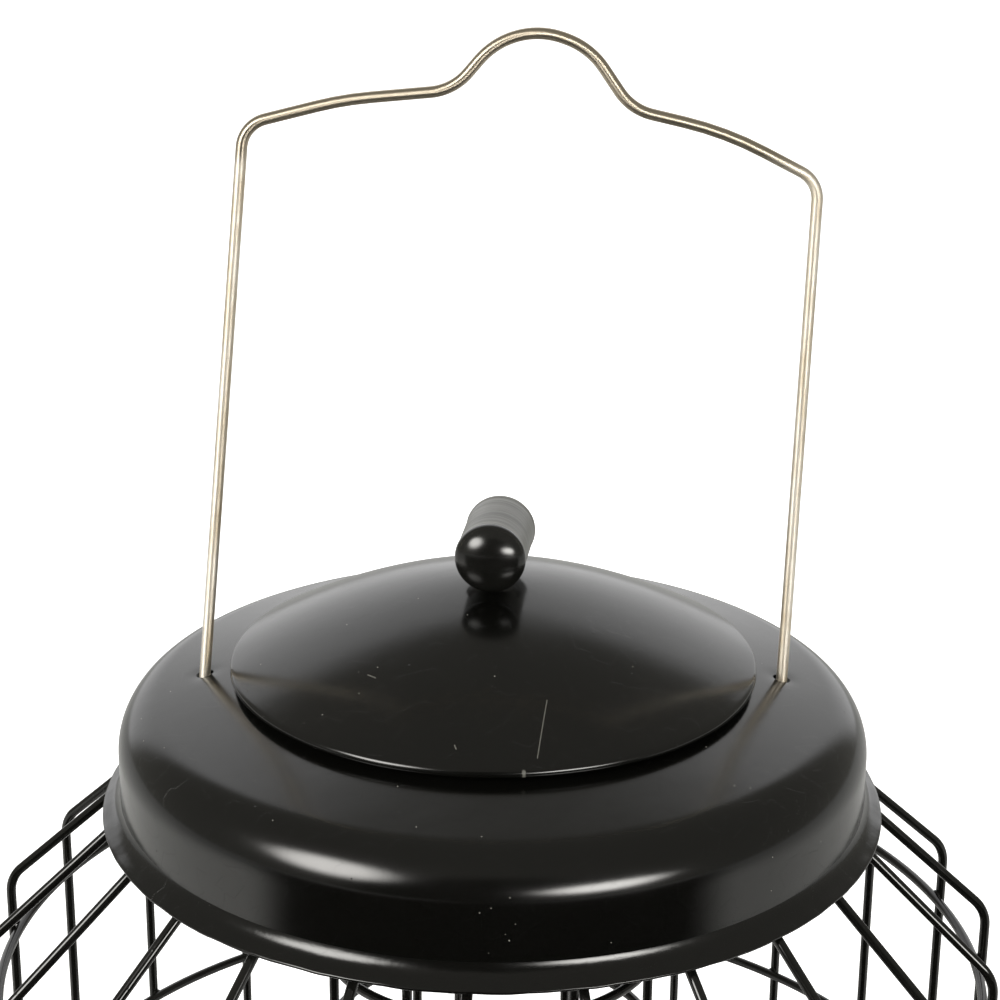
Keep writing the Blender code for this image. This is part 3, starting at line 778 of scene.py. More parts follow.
def carve(piece: bpy.types.Object, cutters: Sequence[bpy.types.Object]) -> None:
    """Cut holes in a piece and drop the cutters.

    Args:
        piece: The object that gets the holes.
        cutters: The solid objects to subtract.
    """
    for cutter in cutters:
        bite = piece.modifiers.new("Hole", "BOOLEAN")
        bite.operation = "DIFFERENCE"
        bite.solver = "EXACT"
        bite.object = cutter
    bpy.context.view_layer.update()
    graph = bpy.context.evaluated_depsgraph_get()
    uncut = piece.data
    piece.data = bpy.data.meshes.new_from_object(piece.evaluated_get(graph), depsgraph=graph)
    piece.modifiers.clear()
    bpy.data.meshes.remove(uncut)
    piece.data.set_sharp_from_angle(angle=CRISP)
    for cutter in cutters:
        bpy.data.objects.remove(cutter, do_unlink=True)


def upright_cutter(middle: Point, radius: float, depth: float, steps: int) -> bpy.types.Object:
    """Round upright solid to cut a hole with, in millimetres."""
    half = depth / 2.0
    section = [(0.0, -half), (radius, -half), (radius, half), (0.0, half)]
    return lathe(section, steps, Around.OPEN).turned(Matrix.Translation(middle)).to_object("cutter")


def place(piece: bpy.types.Object, finish: bpy.types.Material, body: Body, nodes: Sequence[str],
          slot: Slot) -> None:
    """Dress a piece, let it ride on its body and stand for its CAD nodes.

    Args:
        piece: The finished object.
        finish: Its material.
        body: The CAD body that it moves with.
        nodes: The CAD nodes that it stands for.
        slot: The record's material slot; not used.
    """
    piece.data.materials.clear()
    piece.data.materials.append(finish)
    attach(piece, body.value)
    if nodes:
        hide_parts(*nodes)
    log.info("%s: %d faces, rides on %s, stands for %s", piece.name, len(piece.data.polygons), body.value,
             ", ".join(nodes) or "nothing")


# The feeder's sub-assemblies, sizes in millimetres


@dataclass
class SubAssembly:
    """Sizes, lugs, weld beads and rings that the sub-assemblies share."""

    skirt_plane: float = 242.0
    sheet: float = 0.8
    wire: float = 1.1
    sides: int = 14
    set_down: float = 0.35
    bead_spread: float = 1.32
    handle_yaw: float = math.radians(-7.0)
    lug_wide: float = 9.0
    lug_edge: float = 0.25
    lug_turns: tuple[float, ...] = ()

    def lugs(self, name: str, level: float, *blocks: tuple[float, float, float, float]) -> bpy.types.Object:
        """L-shaped lugs of two small blocks each, one in each of the lugs' directions.

        Args:
            name: The object's name.
            level: Height that the blocks are measured from.
            blocks: Thickness and height of each block, and how far out and up its middle lies.

        Returns:
            The lugs as one object.
        """
        lug = Shape.joined(bevelled_block((thick, self.lug_wide, high), self.lug_edge)
                           .turned(Matrix.Translation((out, 0.0, up))) for thick, high, out, up in blocks)
        return Shape.joined(lug.turned(Matrix.Translation((0.0, 0.0, level)) @ Matrix.Rotation(turn, 4, "Z"))
                            for turn in self.lug_turns).to_object(name)

    def beads(self, radius: float, height: float, turns: Sequence[float]) -> list[Shape]:
        """Weld beads at a radius and a height, one in each direction."""
        reach = (self.wire * 0.8, self.wire * self.bead_spread, self.wire * self.bead_spread)
        return [weld_bead((radius * math.cos(turn), radius * math.sin(turn), height), turn, reach) for turn in turns]

    def welded_ring(self, name: str, path: np.ndarray, wire: float, beads: Sequence[Shape]) -> bpy.types.Object:
        """Closed ring of wire with its weld beads, as one object."""
        return Shape.joined([swept_wire(path, wire, self.sides, Around.CLOSED), *beads]).to_object(name)


@dataclass
class RoofPressing(SubAssembly):
    """Pressed roof cap: flared skirt, upright wall, round shoulder and a cone, with two bail holes."""

    opening: float = 38.8
    wall: float = 81.1
    skirt: float = 85.0
    crease: float = 4.45
    flare: tuple[float, float] = (81.76, 2.41)
    shoulder: float = 11.5
    cone_slope: float = math.radians(13.0)
    shoulder_top: float = 25.905
    shoulder_edge: float = 72.187
    flange_bends: tuple[float, float] = (0.3, 5.2)
    hole_offset: float = 62.6
    hole_radius: float = 1.9
    dimple: float = 0.35
    steps: int = 288

    def cone_height(self, radius: float) -> float:
        """Height of the cone's outer face over the skirt plane at a radius."""
        return self.shoulder_top + (self.shoulder_edge - radius) * math.tan(self.cone_slope)

    def _flutter(self, points: np.ndarray) -> np.ndarray:
        """Wave the skirt's edge a little, and dish the sheet round each bail hole.

        Args:
            points: The roof's points.

        Returns:
            The moved points.
        """
        moved = points.copy()
        radius, turn = polar(points)
        share = np.clip((radius - self.wall - 0.6) / (self.skirt - self.wall), 0.0, 1.0)
        low = points[:, 2] < self.skirt_plane + self.crease
        wave = (0.10 * np.sin(9 * turn + 0.7) + 0.07 * np.sin(31 * turn + 2.1) + 0.05 * np.sin(58 * turn)
                + 0.03 * np.sin(97 * turn + 1.3))
        moved[:, 2] += np.where(low, share * wave, 0.0)
        for side in (-1.0, 1.0):
            away = np.hypot(points[:, 0] - side * self.hole_offset, points[:, 1])
            high = points[:, 2] > self.skirt_plane + 20.0
            moved[:, 2] -= np.where(high, self.dimple * np.exp(-(away / 2.6) ** 2), 0.0)
        return moved

    def build(self, enamel: bpy.types.Material) -> None:
        """Build the roof with its lugs and place it.

        Args:
            enamel: The roof's finish.
        """
        corners = [(self.opening, self.cone_height(self.opening)), (self.wall, self.cone_height(self.wall)),
                   (self.wall, self.crease), self.flare, (self.skirt - 0.1, 0.45)]
        face = rounded_path(corners, [self.shoulder, *self.flange_bends], 0.8, 4.0)
        face[:, 1] += self.skirt_plane
        shell = lathe(sheet_section(face, self.sheet), self.steps).warped(self._flutter)
        roof = shell.to_object("roof_pressing")
        height = self.skirt_plane + self.cone_height(self.hole_offset)
        carve(roof, [upright_cutter((side * self.hole_offset, 0.0, height), self.hole_radius, 12.0, 40)
                     for side in (-1.0, 1.0)])
        # Welded inside the wall, the lugs reach under the neck ring.
        lugs = self.lugs("roof_lugs", self.skirt_plane, (1.0, 16.6, self.wall - 1.1, 3.9),
                         (5.4, 1.0, self.wall - 3.3, -3.9))
        place(roof, enamel, Body.FRAME, ["roof"], Slot.ROOF)
        place(lugs, enamel, Body.FRAME, [], Slot.ROOF)


@dataclass
class FillCollar(SubAssembly):
    """Filling collar in the roof's middle, its inward ledge notched to let the lock bar through."""

    radius: float = 38.5
    ledge_radius: float = 29.0
    notch_width: float = 14.0
    notch_reach: float = 34.6

    def build(self, enamel: bpy.types.Material) -> None:
        """Build the collar and place it.

        Args:
            enamel: The collar's finish.
        """
        low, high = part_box("fill_collar")
        inner = self.radius - self.sheet
        upper = low.z / MM - self.skirt_plane + self.sheet
        corners = [(inner, high.z / MM - self.skirt_plane - 0.4), (inner, upper), (self.ledge_radius, upper)]
        face = rounded_path(corners, [0.6], 1.2)[::-1]
        face[:, 1] += self.skirt_plane
        collar = lathe(sheet_section(face, self.sheet), 160).to_object("filling_collar")
        notch = bevelled_block((self.notch_width, 2.0 * self.notch_reach, 3.0), 0.2)
        turn = Matrix.Rotation(self.handle_yaw, 4, "Z")
        lift = Matrix.Translation((0.0, 0.0, self.skirt_plane + upper - self.sheet / 2.0))
        carve(collar, [notch.turned(lift @ turn).to_object("cutter")])
        place(collar, enamel, Body.FRAME, ["fill_collar"], Slot.ROOF)


@dataclass
class LidPressing(SubAssembly):
    """Domed lid with its rim turned down, and the seal round the stem under it."""

    radius: float = 56.8
    rim: float = 31.4
    rim_turn: float = 1.1
    rim_bend: float = 1.3
    rise: float = 18.4
    power: float = 1.7
    hole: float = 2.9
    wander_from: float = 48.0

    def height(self, radius: float) -> float:
        """Height of the dome's outer face over the skirt plane at a radius."""
        return self.rim + self.rim_turn + self.rise * (1.0 - (radius / self.radius) ** self.power)

    def build(self, enamel: bpy.types.Material, rubber: bpy.types.Material) -> None:
        """Build the lid and its seal and place them.

        Args:
            enamel: The lid's finish.
            rubber: The seal's finish.
        """
        dome = [(r, self.height(r)) for r in np.linspace(self.hole, self.radius - 1.6, 70)]
        rim = rounded_path([dome[-1], (self.radius, self.height(self.radius)), (self.radius, self.rim + 0.15)],
                           [self.rim_bend], 0.6, 10.0)
        face = np.array([*dome[:-1], *rim])
        face[:, 1] += self.skirt_plane
        lid = lathe(sheet_section(face, self.sheet), 256).warped(self._dented).to_object("lid_pressing")
        place(lid, enamel, Body.LID, ["lid"], Slot.LID)
        low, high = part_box("lid_seal")
        bottom, top, outer = low.z / MM, high.z / MM, high.x / MM
        corners = [(self.hole, bottom), (outer, bottom), (outer, top), (self.hole, top)]
        face = rounded_path(corners, [0.3, 0.3], 1.0, 15.0)
        seal = lathe(face, 64).to_object("stem_seal")
        place(seal, rubber, Body.LID, ["lid_seal"], Slot.SEAL)

    def _dented(self, points: np.ndarray) -> np.ndarray:
        """Let the rim wander by a tenth of a millimetre, as a spun edge does."""
        moved = points.copy()
        radius, turn = polar(points)
        share = np.clip((radius - self.wander_from) / (self.radius - self.wander_from), 0.0, 1.0) ** 2
        moved[:, 2] += share * (0.10 * np.sin(2 * turn + 0.4) + 0.05 * np.sin(5 * turn + 1.9)
                                + 0.02 * np.sin(23 * turn))
        return moved


@dataclass
class TurnHandle(SubAssembly):
    """T handle, its stem through the lid, and the spacer, lock bar and nut under it."""

    ball: float = 7.5
    barrel: float = 7.36
    dome: float = 4.1
    shoulders: tuple[float, float] = (9.5, 8.2)
    rod_shift: float = 0.35
    reach: float = 7.4
    neck: float = 4.8
    stem: float = 2.5
    thread: float = 0.8
    thread_depth: float = 0.32
    thread_length: float = 13.0

    def build(self, plastic: bpy.types.Material, zinc: bpy.types.Material) -> None:
        """Build the turning pieces and place them.

        Args:
            plastic: The handle's finish.
            zinc: The finish of the metal under it.
        """
        low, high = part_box("handle")
        middle = high.z / MM - self.reach
        rod = self._rod().turned(Matrix.Translation((self.rod_shift, 0.0, middle))
                                 @ Matrix.Rotation(self.handle_yaw, 4, "Z") @ Matrix.Rotation(math.pi / 2.0, 4, "X"))
        bottom = low.z / MM
        face = rounded_path([(self.stem + 0.3, bottom), (self.neck, bottom), (self.neck, middle - self.barrel + 1.4),
                             (self.neck + 1.8, middle - self.barrel + 2.6)], [0.4, 2.0], 0.8, 12.0)
        neck = lathe(face, 48, Around.OPEN)
        handle = Shape.joined([rod, neck]).to_object("T_handle")
        place(handle, plastic, Body.HANDLE, ["handle"], Slot.HANDLE)
        place(self._stem().to_object("threaded_stem"), zinc, Body.HANDLE, ["stem"], Slot.ZINC)
        for node, name, edge in (("stem_spacer", "plated_spacer", 0.3), ("lock_bar", "plated_lock_bar", 0.35),
                                 ("stem_nut", "plated_nut", 0.45)):
            place(self._softened(node, name, edge), zinc, Body.HANDLE, [node], Slot.ZINC)

    def _rod(self) -> Shape:
        """Barrel between two domed ends, turned about its own length.

        Returns:
            The rod's shape, lying along Z.
        """
        near, far = self.shoulders

        def end(reach: float) -> list[tuple[float, float]]:
            """Domed end and its shoulder, from the tip to the barrel."""
            dome = [(self.ball * math.sin(t), reach + self.dome * math.cos(t))
                    for t in np.linspace(0.0, math.radians(90.0), 28)]
            return [*dome, (self.ball - 0.02, reach - 0.25), (self.barrel, reach - 0.5), (self.barrel, reach - 0.9)]

        middle = [(self.barrel, float(z)) for z in np.linspace(near - 1.4, 1.4 - far, 24)]
        section = end(near) + middle + [(r, -z) for r, z in reversed(end(far))]
        rod = lathe(section, 72, Around.OPEN)
        start = section[0][1]
        run = [(u, self._height_at(section, v) if v else start) for u, v in rod.run]
        return Shape(rod.points, rod.faces, run)

    @staticmethod
    def _height_at(section: Section, length: float) -> float:
        """Height on the section after a length along it, so that the map runs straight along the rod."""
        walked = 0.0
        for (r0, z0), (r1, z1) in zip(section, section[1:]):
            step = math.dist((r0, z0), (r1, z1))
            if walked + step >= length - 1e-9:
                return z0 + (z1 - z0) * (length - walked) / step
            walked += step
        return section[-1][1]

    def _stem(self) -> Shape:
        """Stem with a thread cut over its lower part.

        Returns:
            The stem's shape.
        """
        low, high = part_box("stem")
        bottom, top = low.z / MM, high.z / MM
        steps, pace = 36, self.thread / 8.0
        end = bottom + self.thread_length
        heights = np.concatenate([np.arange(bottom, end, pace), [end + 0.5, top]])
        section = [(0.0, bottom)] + [(self.stem, float(z)) for z in heights] + [(0.0, top)]
        rod = lathe(section, steps, Around.OPEN)

        def cut_thread(points: np.ndarray) -> np.ndarray:
            """Pull the surface in along a helix."""
            radius, turn = polar(points)
            share = (points[:, 2] / self.thread - turn / math.tau) % 1.0
            depth = self.thread_depth * np.abs(2.0 * share - 1.0)
            cut = (radius > 0.1) & (points[:, 2] < end)
            scale = np.where(cut, (self.stem - depth) / self.stem, 1.0)
            return points * np.stack([scale, scale, np.ones_like(scale)], axis=1)

        return rod.warped(cut_thread)

    @staticmethod
    def _softened(node: str, name: str, edge: float) -> bpy.types.Object:
        """Copy of a plain CAD solid with its edges rounded off.

        Args:
            node: The CAD node to copy.
            name: The new object's name.
            edge: Width of the rounding.

        Returns:
            The new object.
        """
        shape = bmesh.new()
        shape.from_mesh(FRAME["nodes"][node].data)
        bmesh.ops.remove_doubles(shape, verts=shape.verts, dist=0.002 * MM)
        bmesh.ops.dissolve_limit(shape, angle_limit=math.radians(1.0), verts=shape.verts, edges=shape.edges)
        sharp = [e for e in shape.edges if e.is_manifold and e.calc_face_angle() > math.radians(50.0)]
        bmesh.ops.bevel(shape, geom=sharp, offset=edge * MM, segments=3, profile=0.5, affect="EDGES",
                        clamp_overlap=True)
        bmesh.ops.triangulate(shape, faces=[f for f in shape.faces if len(f.verts) > 4])
        mesh = bpy.data.meshes.new(name)
        shape.to_mesh(mesh)
        shape.free()
        mesh.shade_smooth()
        mesh.set_sharp_from_angle(angle=math.radians(32.0))
        return linked_object(name, mesh)


@dataclass
class GuardCage(SubAssembly):
    """Guard cage: bent upright wires, level hoops welded inside them, and a ring at each end."""

    ring_wire: float = 1.5
    uprights: int = 23
    hoops: int = 4
    phase: float = math.radians(157.4)
    radius: float = 111.5
    slope: float = math.radians(42.6)
    bend: float = 8.5
    overrun: float = 2.4
    neck_radius: float = 79.0
    neck_rise: float = 0.5

    def _turns(self) -> list[float]:
        """Directions of the uprights, in radians."""
        return [self.phase + math.tau * i / self.uprights for i in range(self.uprights)]

    def _upright(self) -> np.ndarray:
        """Path of one upright as radius, zero and height, from its foot to its neck end."""
        tilt = math.tan(self.slope)
        ring_radius, ring_height = self._ring("cage_foot_ring")
        reach = self.wire + self.ring_wire + 0.3
        foot = (ring_radius + reach * math.sin(self.slope), ring_height - reach * math.cos(self.slope))
        over = (self.overrun * math.cos(self.slope), self.overrun * math.sin(self.slope))
        neck = (self.neck_radius, self.skirt_plane + self.neck_rise)
        lower = foot[1] + (self.radius - foot[0]) * tilt
        upper = neck[1] - (self.radius - neck[0]) * tilt
        corners = [(foot[0] - over[0], 0.0, foot[1] - over[1]), (self.radius, 0.0, lower),
                   (self.radius, 0.0, upper), (neck[0] - over[0], 0.0, neck[1] + over[1])]
        return rounded_path(corners, [self.bend, self.bend], 12.0, 5.0)

    @staticmethod
    def _ring(node: str) -> tuple[float, float]:
        """Radius and height of a CAD ring's middle line, in millimetres."""
        low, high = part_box(node)
        thick = high.z - low.z
        return ((high.x - low.x) / 2.0 - thick / 2.0) / MM, (low.z + high.z) / 2.0 / MM

    def build(self, enamel: bpy.types.Material) -> None:
        """Build the cage's wires and rings with their welds, and place them.

        Args:
            enamel: The wires' finish.
        """
        flat = self._upright()
        for number, turn in enumerate(self._turns(), 1):
            path = np.stack([flat[:, 0] * math.cos(turn), flat[:, 0] * math.sin(turn), flat[:, 2]], axis=1)
            upright = swept_wire(path, self.wire, self.sides).to_object(f"guard_upright_{number:02d}")
            place(upright, enamel, Body.FRAME, [f"cage_upright_{number:02d}"], Slot.CAGE)
        for number in range(1, self.hoops + 1):
            height = self._ring(f"cage_hoop_{number}")[1]
            path = level_ring(self.radius - 2.0 * self.wire + self.set_down, height, 184)
            hoop = self.welded_ring(f"guard_hoop_{number}", path, self.wire,
                                    self.beads(self.radius - self.wire, height, self._turns()))
            place(hoop, enamel, Body.FRAME, [f"cage_hoop_{number}"], Slot.CAGE)
        for node, name, lift in (("cage_neck_ring", "guard_neck_ring", 1.0),
                                 ("cage_foot_ring", "guard_foot_ring", -1.0)):
            radius, height = self._ring(node)
            beads = self.beads(radius + self.ring_wire * math.sin(self.slope),
                               height + lift * self.ring_wire * math.cos(self.slope), self._turns())
            ring = self.welded_ring(name, level_ring(radius, height, 160), self.ring_wire, beads)
            place(ring, enamel, Body.FRAME, [node], Slot.CAGE)


@dataclass
class WireTube(SubAssembly):
    """Open wire tube that holds the food: six uprights inside ten hoops."""

    uprights: int = 6
    hoops: int = 10
    radius: float = 37.8
    bead_spread: float = 1.3

    def build(self, enamel: bpy.types.Material) -> None:
        """Build the tube's wires and place them.

        Args:
            enamel: The wires' finish.
        """
        low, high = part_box("tube_upright_1")
        inner = self.radius - 2.0 * self.wire + self.set_down - 0.3
        turns = [math.tau * i / self.uprights for i in range(self.uprights)]
        for number, turn in enumerate(turns, 1):
            x, y = inner * math.cos(turn), inner * math.sin(turn)
            path = np.array([(x, y, z) for z in np.linspace(low.z / MM, high.z / MM, 24)])
            upright = swept_wire(path, self.wire, self.sides).to_object(f"feed_tube_upright_{number}")
            place(upright, enamel, Body.FRAME, [f"tube_upright_{number}"], Slot.TUBE)
        for number in range(1, self.hoops + 1):
            node = f"tube_hoop_{number:02d}"
            height = sum(corner.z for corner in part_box(node)) / 2.0 / MM
            hoop = self.welded_ring(f"feed_{node}", level_ring(self.radius, height, 96), self.wire,
                                    self.beads(inner + self.wire, height, turns))
            place(hoop, enamel, Body.FRAME, [node], Slot.TUBE)


@dataclass
class DishTray(SubAssembly):
    """Dish tray with a turned-down lip over the foot ring, drain holes and lugs under the ring."""

    wall: float = 76.5
    corner: float = 8.0
    lip: float = 82.6
    lip_height: float = 14.0
    lip_turn: float = 1.2
    drain: float = 2.5
    drain_rings: tuple[tuple[float, int], ...] = ((56.0, 8), (18.0, 6))
    ring_bottom: float = 9.9

    def build(self, enamel: bpy.types.Material) -> None:
        """Build the tray with its lugs and place it.

        Args:
            enamel: The tray's finish.
        """
        wall = self.wall - self.sheet
        corners = [(0.0, self.sheet), (wall, self.sheet), (wall, self.lip_height), (self.lip, self.lip_height),
                   (self.lip, self.lip_height - self.lip_turn + 0.1)]
        inner = rounded_path(corners, [self.corner - self.sheet, 0.9, 0.55], 1.6, 7.0)
        back = sheet_back(inner, self.sheet)[1]
        back[0, 0] = 0.0
        tray = lathe([*inner, *back[::-1]], 216, Around.OPEN).to_object("dish_tray")
        cutters = [upright_cutter((radius * math.cos(math.tau * i / count), radius * math.sin(math.tau * i / count),
                                   self.sheet / 2.0), self.drain, 4.0, 28)
                   for radius, count in self.drain_rings for i in range(count)]
        carve(tray, cutters)
        # Welded outside the wall, the lugs lie under the foot ring.
        lugs = self.lugs("tray_lugs", self.ring_bottom - 0.8, (5.4, 1.0, self.wall + 2.5, 0.0),
                         (1.0, 2.0, self.wall + 0.3, 0.5))
        place(tray, enamel, Body.FRAME, ["tray"], Slot.TRAY)
        place(lugs, enamel, Body.FRAME, [], Slot.TRAY)


@dataclass
class WireBail(SubAssembly):
    """Bail of bright wire: two legs, bent shoulders and a hump to hang by, hooked through the roof."""

    wire: float = 1.2
    hole: tuple[float, float] = (62.6, 27.708)
    left: tuple[tuple[float, float], ...] = ((-51.1, 148.2), (-30.9, 153.4), (-8.9, 155.5), (3.0, 169.6))
    right: tuple[tuple[float, float], ...] = ((18.3, 164.2), (26.8, 151.9), (45.9, 147.5), (65.0, 137.7))
    ends: tuple[float, float] = (20.5, 9.0)
    hook: float = 7.0
    bends: tuple[float, ...] = (3.0, 6.5, 70.0, 11.2, 15.3)
    sides: int = 24

    def build(self, steel: bpy.types.Material) -> None:
        """Build the bail and place it.

        Args:
            steel: The wire's finish.
        """
        def leg_end(corner: tuple[float, float], side: float, height: float) -> tuple[float, float]:
            """End of a leg on the line from its corner through its roof hole."""
            x, z = side * self.hole[0], self.hole[1]
            share = (height - corner[1]) / (z - corner[1])
            return corner[0] + (x - corner[0]) * share, height

        first = leg_end(self.left[0], -1.0, self.ends[0])
        last = leg_end(self.right[-1], 1.0, self.ends[1])
        flat = [(first[0] - self.hook, first[1]), first, *self.left, *self.right, last,
                (last[0] + self.hook, last[1])]
        corners = [(x, 0.0, self.skirt_plane + z) for x, z in flat]
        path = rounded_path(corners, [*self.bends, *reversed(self.bends)], 2.0, 4.0)
        bail = swept_wire(path, self.wire, self.sides).to_object("wire_bail")
        place(bail, steel, Body.BAIL, ["bail"], Slot.BAIL)


# The studio


@dataclass
class StudioCamera:
    """Camera at the photograph's place, fitted to the skirt's ellipse, the cage's wires and the bail."""

    place: Point = (0.00113, -0.49774, 0.48946)
    pitch: float = math.radians(19.77)
    roll: float = math.radians(0.49)
    lens: float = 90.0

    def build(self) -> None:
        """Make the camera and hand it to the scene."""
        data = bpy.data.cameras.new("studio_camera")
        data.sensor_width = 36.0
        data.lens = self.lens
        data.clip_start = 0.01
        data.clip_end = 50.0
        camera = linked_object("studio_camera", data)
        camera.matrix_world = (Matrix.Translation(self.place) @ Matrix.Rotation(math.pi / 2.0 - self.pitch, 4, "X")
                               @ Matrix.Rotation(self.roll, 4, "Z"))
        bpy.context.scene.camera = camera


@dataclass(frozen=True)
class Softbox:
    """Soft lamp in front of the feeder: a bearing clockwise from the back, a rise, a distance and a size."""

    name: str
    bearing: float
    rise: float
    distance: float
    size: tuple[float, float]
    glow: float
    core: float = 0.35
    colour: str = "#FFFDF8"

    def build(self, aim: Point) -> None:
        """Make the lamp's cloth front, bright in the middle and fading out to its edges.

        Args:
            aim: The place that it faces, in metres.
        """
        half = (self.size[0] / 2.0, self.size[1] / 2.0)
        net = Network(bpy.data.materials.new(f"{self.name} cloth"))
        spot = net.add("TexCoord").outputs["Object"]
        share = net.add("VectorMath", spot, (*half, 1.0), operation="DIVIDE")
        reach = net.add("VectorMath", share, operation="LENGTH")
        fall = net.add("MapRange", reach, self.core, 1.0, 1.0, 0.0, interpolation_type="SMOOTHSTEP")
        glow = net.add("Emission", Color=linear(self.colour), Strength=self.glow)
        cloth = net.surface(net.add("MixShader", fall, net.add("BsdfTransparent"), glow))
        card = studio_card(self.name, level_card(*half), cloth, ("camera", "shadow"))
        bearing, rise = math.radians(self.bearing), math.radians(self.rise)
        out = Vector((math.sin(bearing) * math.cos(rise), math.cos(bearing) * math.cos(rise), math.sin(rise)))
        card.location = Vector(aim) + out * self.distance
        card.rotation_euler = out.to_track_quat("Z", "Y").to_euler()


def level_card(half_wide: float, half_high: float) -> list[Point]:
    """Corners of a level rectangle round the origin."""
    return [(x * half_wide, y * half_high, 0.0) for x, y in ((-1, -1), (1, -1), (1, 1), (-1, 1))]


def studio_card(name: str, corners: Sequence[Point], material: bpy.types.Material,
                unseen_by: Sequence[str] = ()) -> bpy.types.Object:
    """Flat card of the studio.

    Args:
        name: The card's name.
        corners: Its corners, in metres.
        material: Its material.
        unseen_by: The kinds of ray that pass it.

    Returns:
        The card's object.
    """
    mesh = bpy.data.meshes.new(name)
    mesh.from_pydata(corners, [], [tuple(range(len(corners)))])
    mesh.materials.append(material)
    card = linked_object(name, mesh)
    for ray in unseen_by:
        setattr(card, f"visible_{ray}", False)
    return card


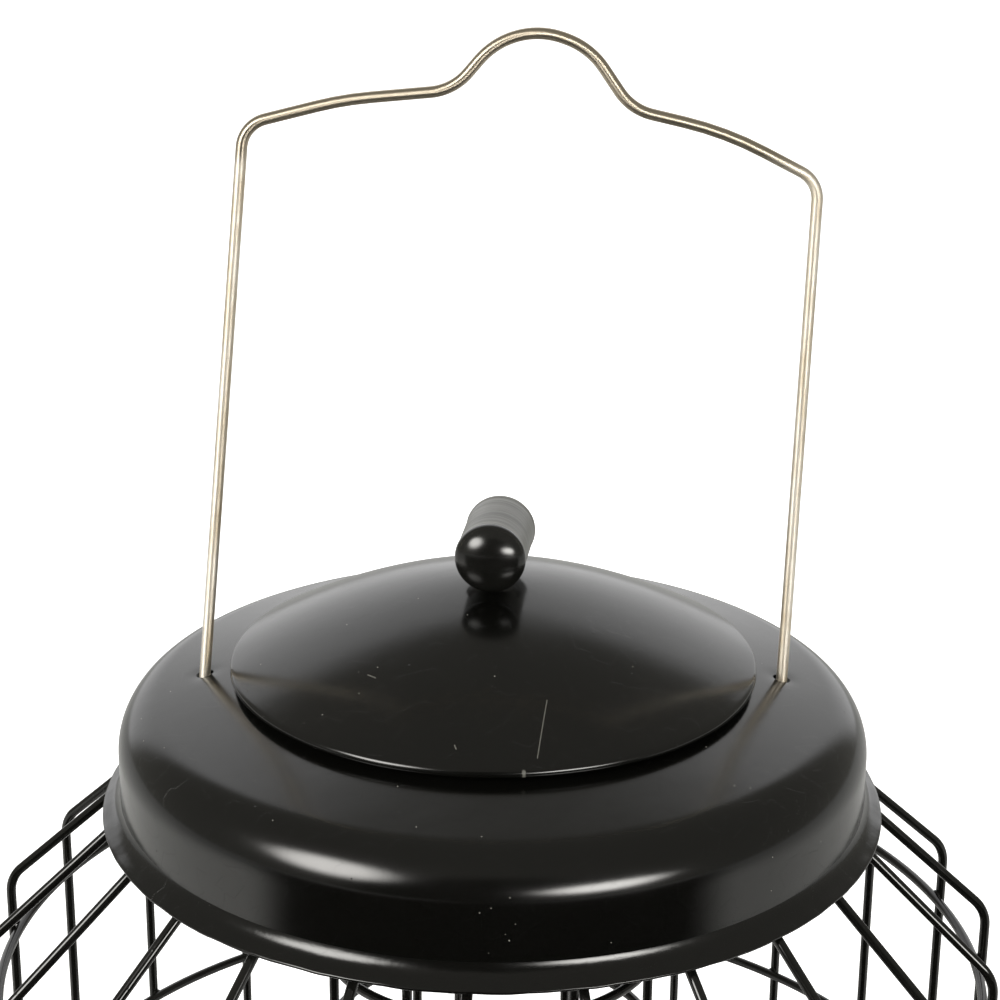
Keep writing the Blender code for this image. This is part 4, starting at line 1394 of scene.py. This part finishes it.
@dataclass
class Studio:
    """White table and backdrop, a dim room behind the camera, and two softboxes in front.

    Their places and levels come from what the enamel mirrors in the photograph.
    """

    aim: Point = (0.0, 0.0, 0.27)
    lamps: tuple[Softbox, ...] = (
        Softbox("left_softbox", -132.5, 25.0, 1.0, (0.80, 0.66), 14.5),
        Softbox("right_softbox", 149.0, 10.5, 1.0, (0.82, 0.32), 19.0),
    )
    table_half: float = 3.0
    flag_sector: tuple[float, float] = (56.0, 73.0)
    flag_reach: tuple[float, float] = (0.3, 2.9)
    room: str = "#908E87"
    dark_room: str = "#2E2D2A"
    fill: str = "#D9D9D7"
    white: str = "#FFFFFF"
    backdrop_glow: float = 1.2

    def build(self) -> None:
        """Make the world, the table, the flag and the lamps."""
        self._world()
        self._table()
        self._flag()
        for lamp in self.lamps:
            lamp.build(self.aim)
        bpy.context.scene.view_settings.view_transform = "Standard"

    def _world(self) -> None:
        """White to the camera; in reflections a white backdrop, grey walls and a dark room in front."""
        world = bpy.data.worlds.new("studio")
        bpy.context.scene.world = world
        net = Network(world)
        aim = net.add("TexCoord").outputs["Generated"]
        white = linear(self.white)

        def towards(axis: Point, low: float, high: float) -> bpy.types.Node:
            """Mask that rises as a direction nears an axis."""
            dot = net.add("VectorMath", aim, Vector(axis).normalized(), operation="DOT_PRODUCT")
            return net.add("MapRange", dot, low, high, 0.0, 1.0, interpolation_type="SMOOTHSTEP")

        backdrop = towards((-0.06, 0.985, 0.14), 0.70, 0.81)
        dark = towards((0.0, -0.98, 0.0), 0.66, 0.86)
        room = net.add("Mix", Factor=backdrop, A=linear(self.room), B=white, data_type="RGBA")
        room = net.add("Mix", Factor=dark, A=room, B=linear(self.dark_room), data_type="RGBA")
        ray = net.add("LightPath").outputs
        seen = net.add("Math", ray["Is Camera Ray"], ray["Is Transmission Ray"], operation="MAXIMUM")
        colour = net.add("Mix", Factor=ray["Is Glossy Ray"], A=linear(self.fill), B=room, data_type="RGBA")
        colour = net.add("Mix", Factor=seen, A=colour, B=white, data_type="RGBA")
        mirrored = net.add("Math", ray["Is Glossy Ray"], backdrop, operation="MULTIPLY")
        level = net.add("Math", mirrored, self.backdrop_glow - 1.0, 1.0, operation="MULTIPLY_ADD")
        net.add("OutputWorld", net.add("Background", Color=colour, Strength=level))

    def _table(self) -> None:
        """White table top that goes on to white for the camera and keeps the feeder's shadow."""
        net = Network(bpy.data.materials.new("white painted board"))
        spot = net.add("TexCoord").outputs["Object"]
        grain = net.add("TexNoise", Vector=spot, Scale=per_metre(60.0), Detail=3.0, Roughness=0.5)
        colour = net.add("Mix", Factor=grain, A=linear("#DADAD8"), B=linear("#DEDEDC"), data_type="RGBA")
        seen = net.add("LightPath").outputs["Is Camera Ray"]
        glow = net.add("Emission", Color=linear(self.white), Strength=seen)
        paint = net.surface(net.add("AddShader", net.add("BsdfDiffuse", colour), glow))
        studio_card("table_top", level_card(self.table_half, self.table_half), paint)

    def _flag(self) -> None:
        """Black cloth in front that only reflections see, thin at its sides, to keep the glossy paint dark."""
        net = Network(bpy.data.materials.new("black cloth"))
        weave = net.add("TexNoise", Scale=per_metre(3.0), Detail=2.0)
        colour = net.add("Mix", Factor=weave, A=linear("#0B0B0A"), B=linear("#121211"), data_type="RGBA")
        spot = net.add("SeparateXYZ", net.add("TexCoord").outputs["Object"]).outputs
        turn = net.add("Math", spot["X"], net.add("Math", spot["Y"], -1.0, operation="MULTIPLY"),
                       operation="ARCTAN2")
        turn = net.add("Math", turn, operation="ABSOLUTE")
        inner, outer = (math.radians(angle) for angle in self.flag_sector)
        thin = net.add("MapRange", turn, inner, outer, 0.0, 1.0, interpolation_type="SMOOTHSTEP")
        cloth = net.surface(net.add("MixShader", thin, net.add("BsdfDiffuse", colour), net.add("BsdfTransparent")))
        near, far = self.flag_reach
        left, right = math.pi + outer, math.pi - outer
        spots = [(left, near), (left, far), (math.pi, far), (right, far), (right, near)]
        corners = [(reach * math.sin(t), reach * math.cos(t), 0.002) for t, reach in spots]
        studio_card("table_flag", corners, cloth, ("camera", "diffuse", "shadow", "transmission"))


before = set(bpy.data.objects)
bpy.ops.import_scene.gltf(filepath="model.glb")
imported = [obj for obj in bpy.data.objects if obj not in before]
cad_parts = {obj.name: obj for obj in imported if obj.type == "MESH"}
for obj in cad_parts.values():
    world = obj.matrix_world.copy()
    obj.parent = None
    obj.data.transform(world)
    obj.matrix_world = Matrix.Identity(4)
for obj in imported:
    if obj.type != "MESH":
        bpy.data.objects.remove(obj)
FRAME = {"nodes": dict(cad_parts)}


def main() -> None:
    """Build the feeder's pieces in order, then the studio."""
    logging.basicConfig(level=logging.INFO, format="%(name)s: %(message)s", stream=sys.stdout)
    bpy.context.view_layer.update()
    cage = GuardCage()
    pitch = math.tau / cage.uprights
    lug_turns = tuple(cage.phase + pitch * (space + 0.5) for space in (3, 11, 15, 22))
    lid_marks = (Hairline((10.9, -39.7), (8.9, -53.3)),
                 Hairline((-25.5, -29.8), (-23.9, -31.2), 0.2),
                 Hairline((-7.4, -50.8), (-7.1, -51.6), 0.2),
                 Hairline((6.2, -56.3), (6.3, -56.3), 0.45))
    roof_enamel = StoveEnamel("stove enamelled roof steel", wrinkled_below=246.4).build()
    lid_enamel = StoveEnamel("stove enamelled lid steel", marks=lid_marks).build()
    tray_enamel = StoveEnamel("stove enamelled tray steel", roughness=0.11).build()
    wire_enamel = DippedEnamel("dipped enamel on cage wire").build()
    tube_enamel = DippedEnamel("dipped enamel on tube wire", roughness=0.08).build()
    zinc = ZincPlate().build()

    DishTray(lug_turns=lug_turns).build(tray_enamel)
    cage.build(wire_enamel)
    WireTube().build(tube_enamel)
    RoofPressing(lug_turns=lug_turns).build(roof_enamel)
    FillCollar().build(roof_enamel)
    LidPressing().build(lid_enamel, SealRubber().build())
    TurnHandle().build(MouldedPlastic().build(), zinc)
    WireBail().build(DrawnStainless().build())
    StudioCamera().build()
    Studio().build()


if __name__ == "__main__":
    main()
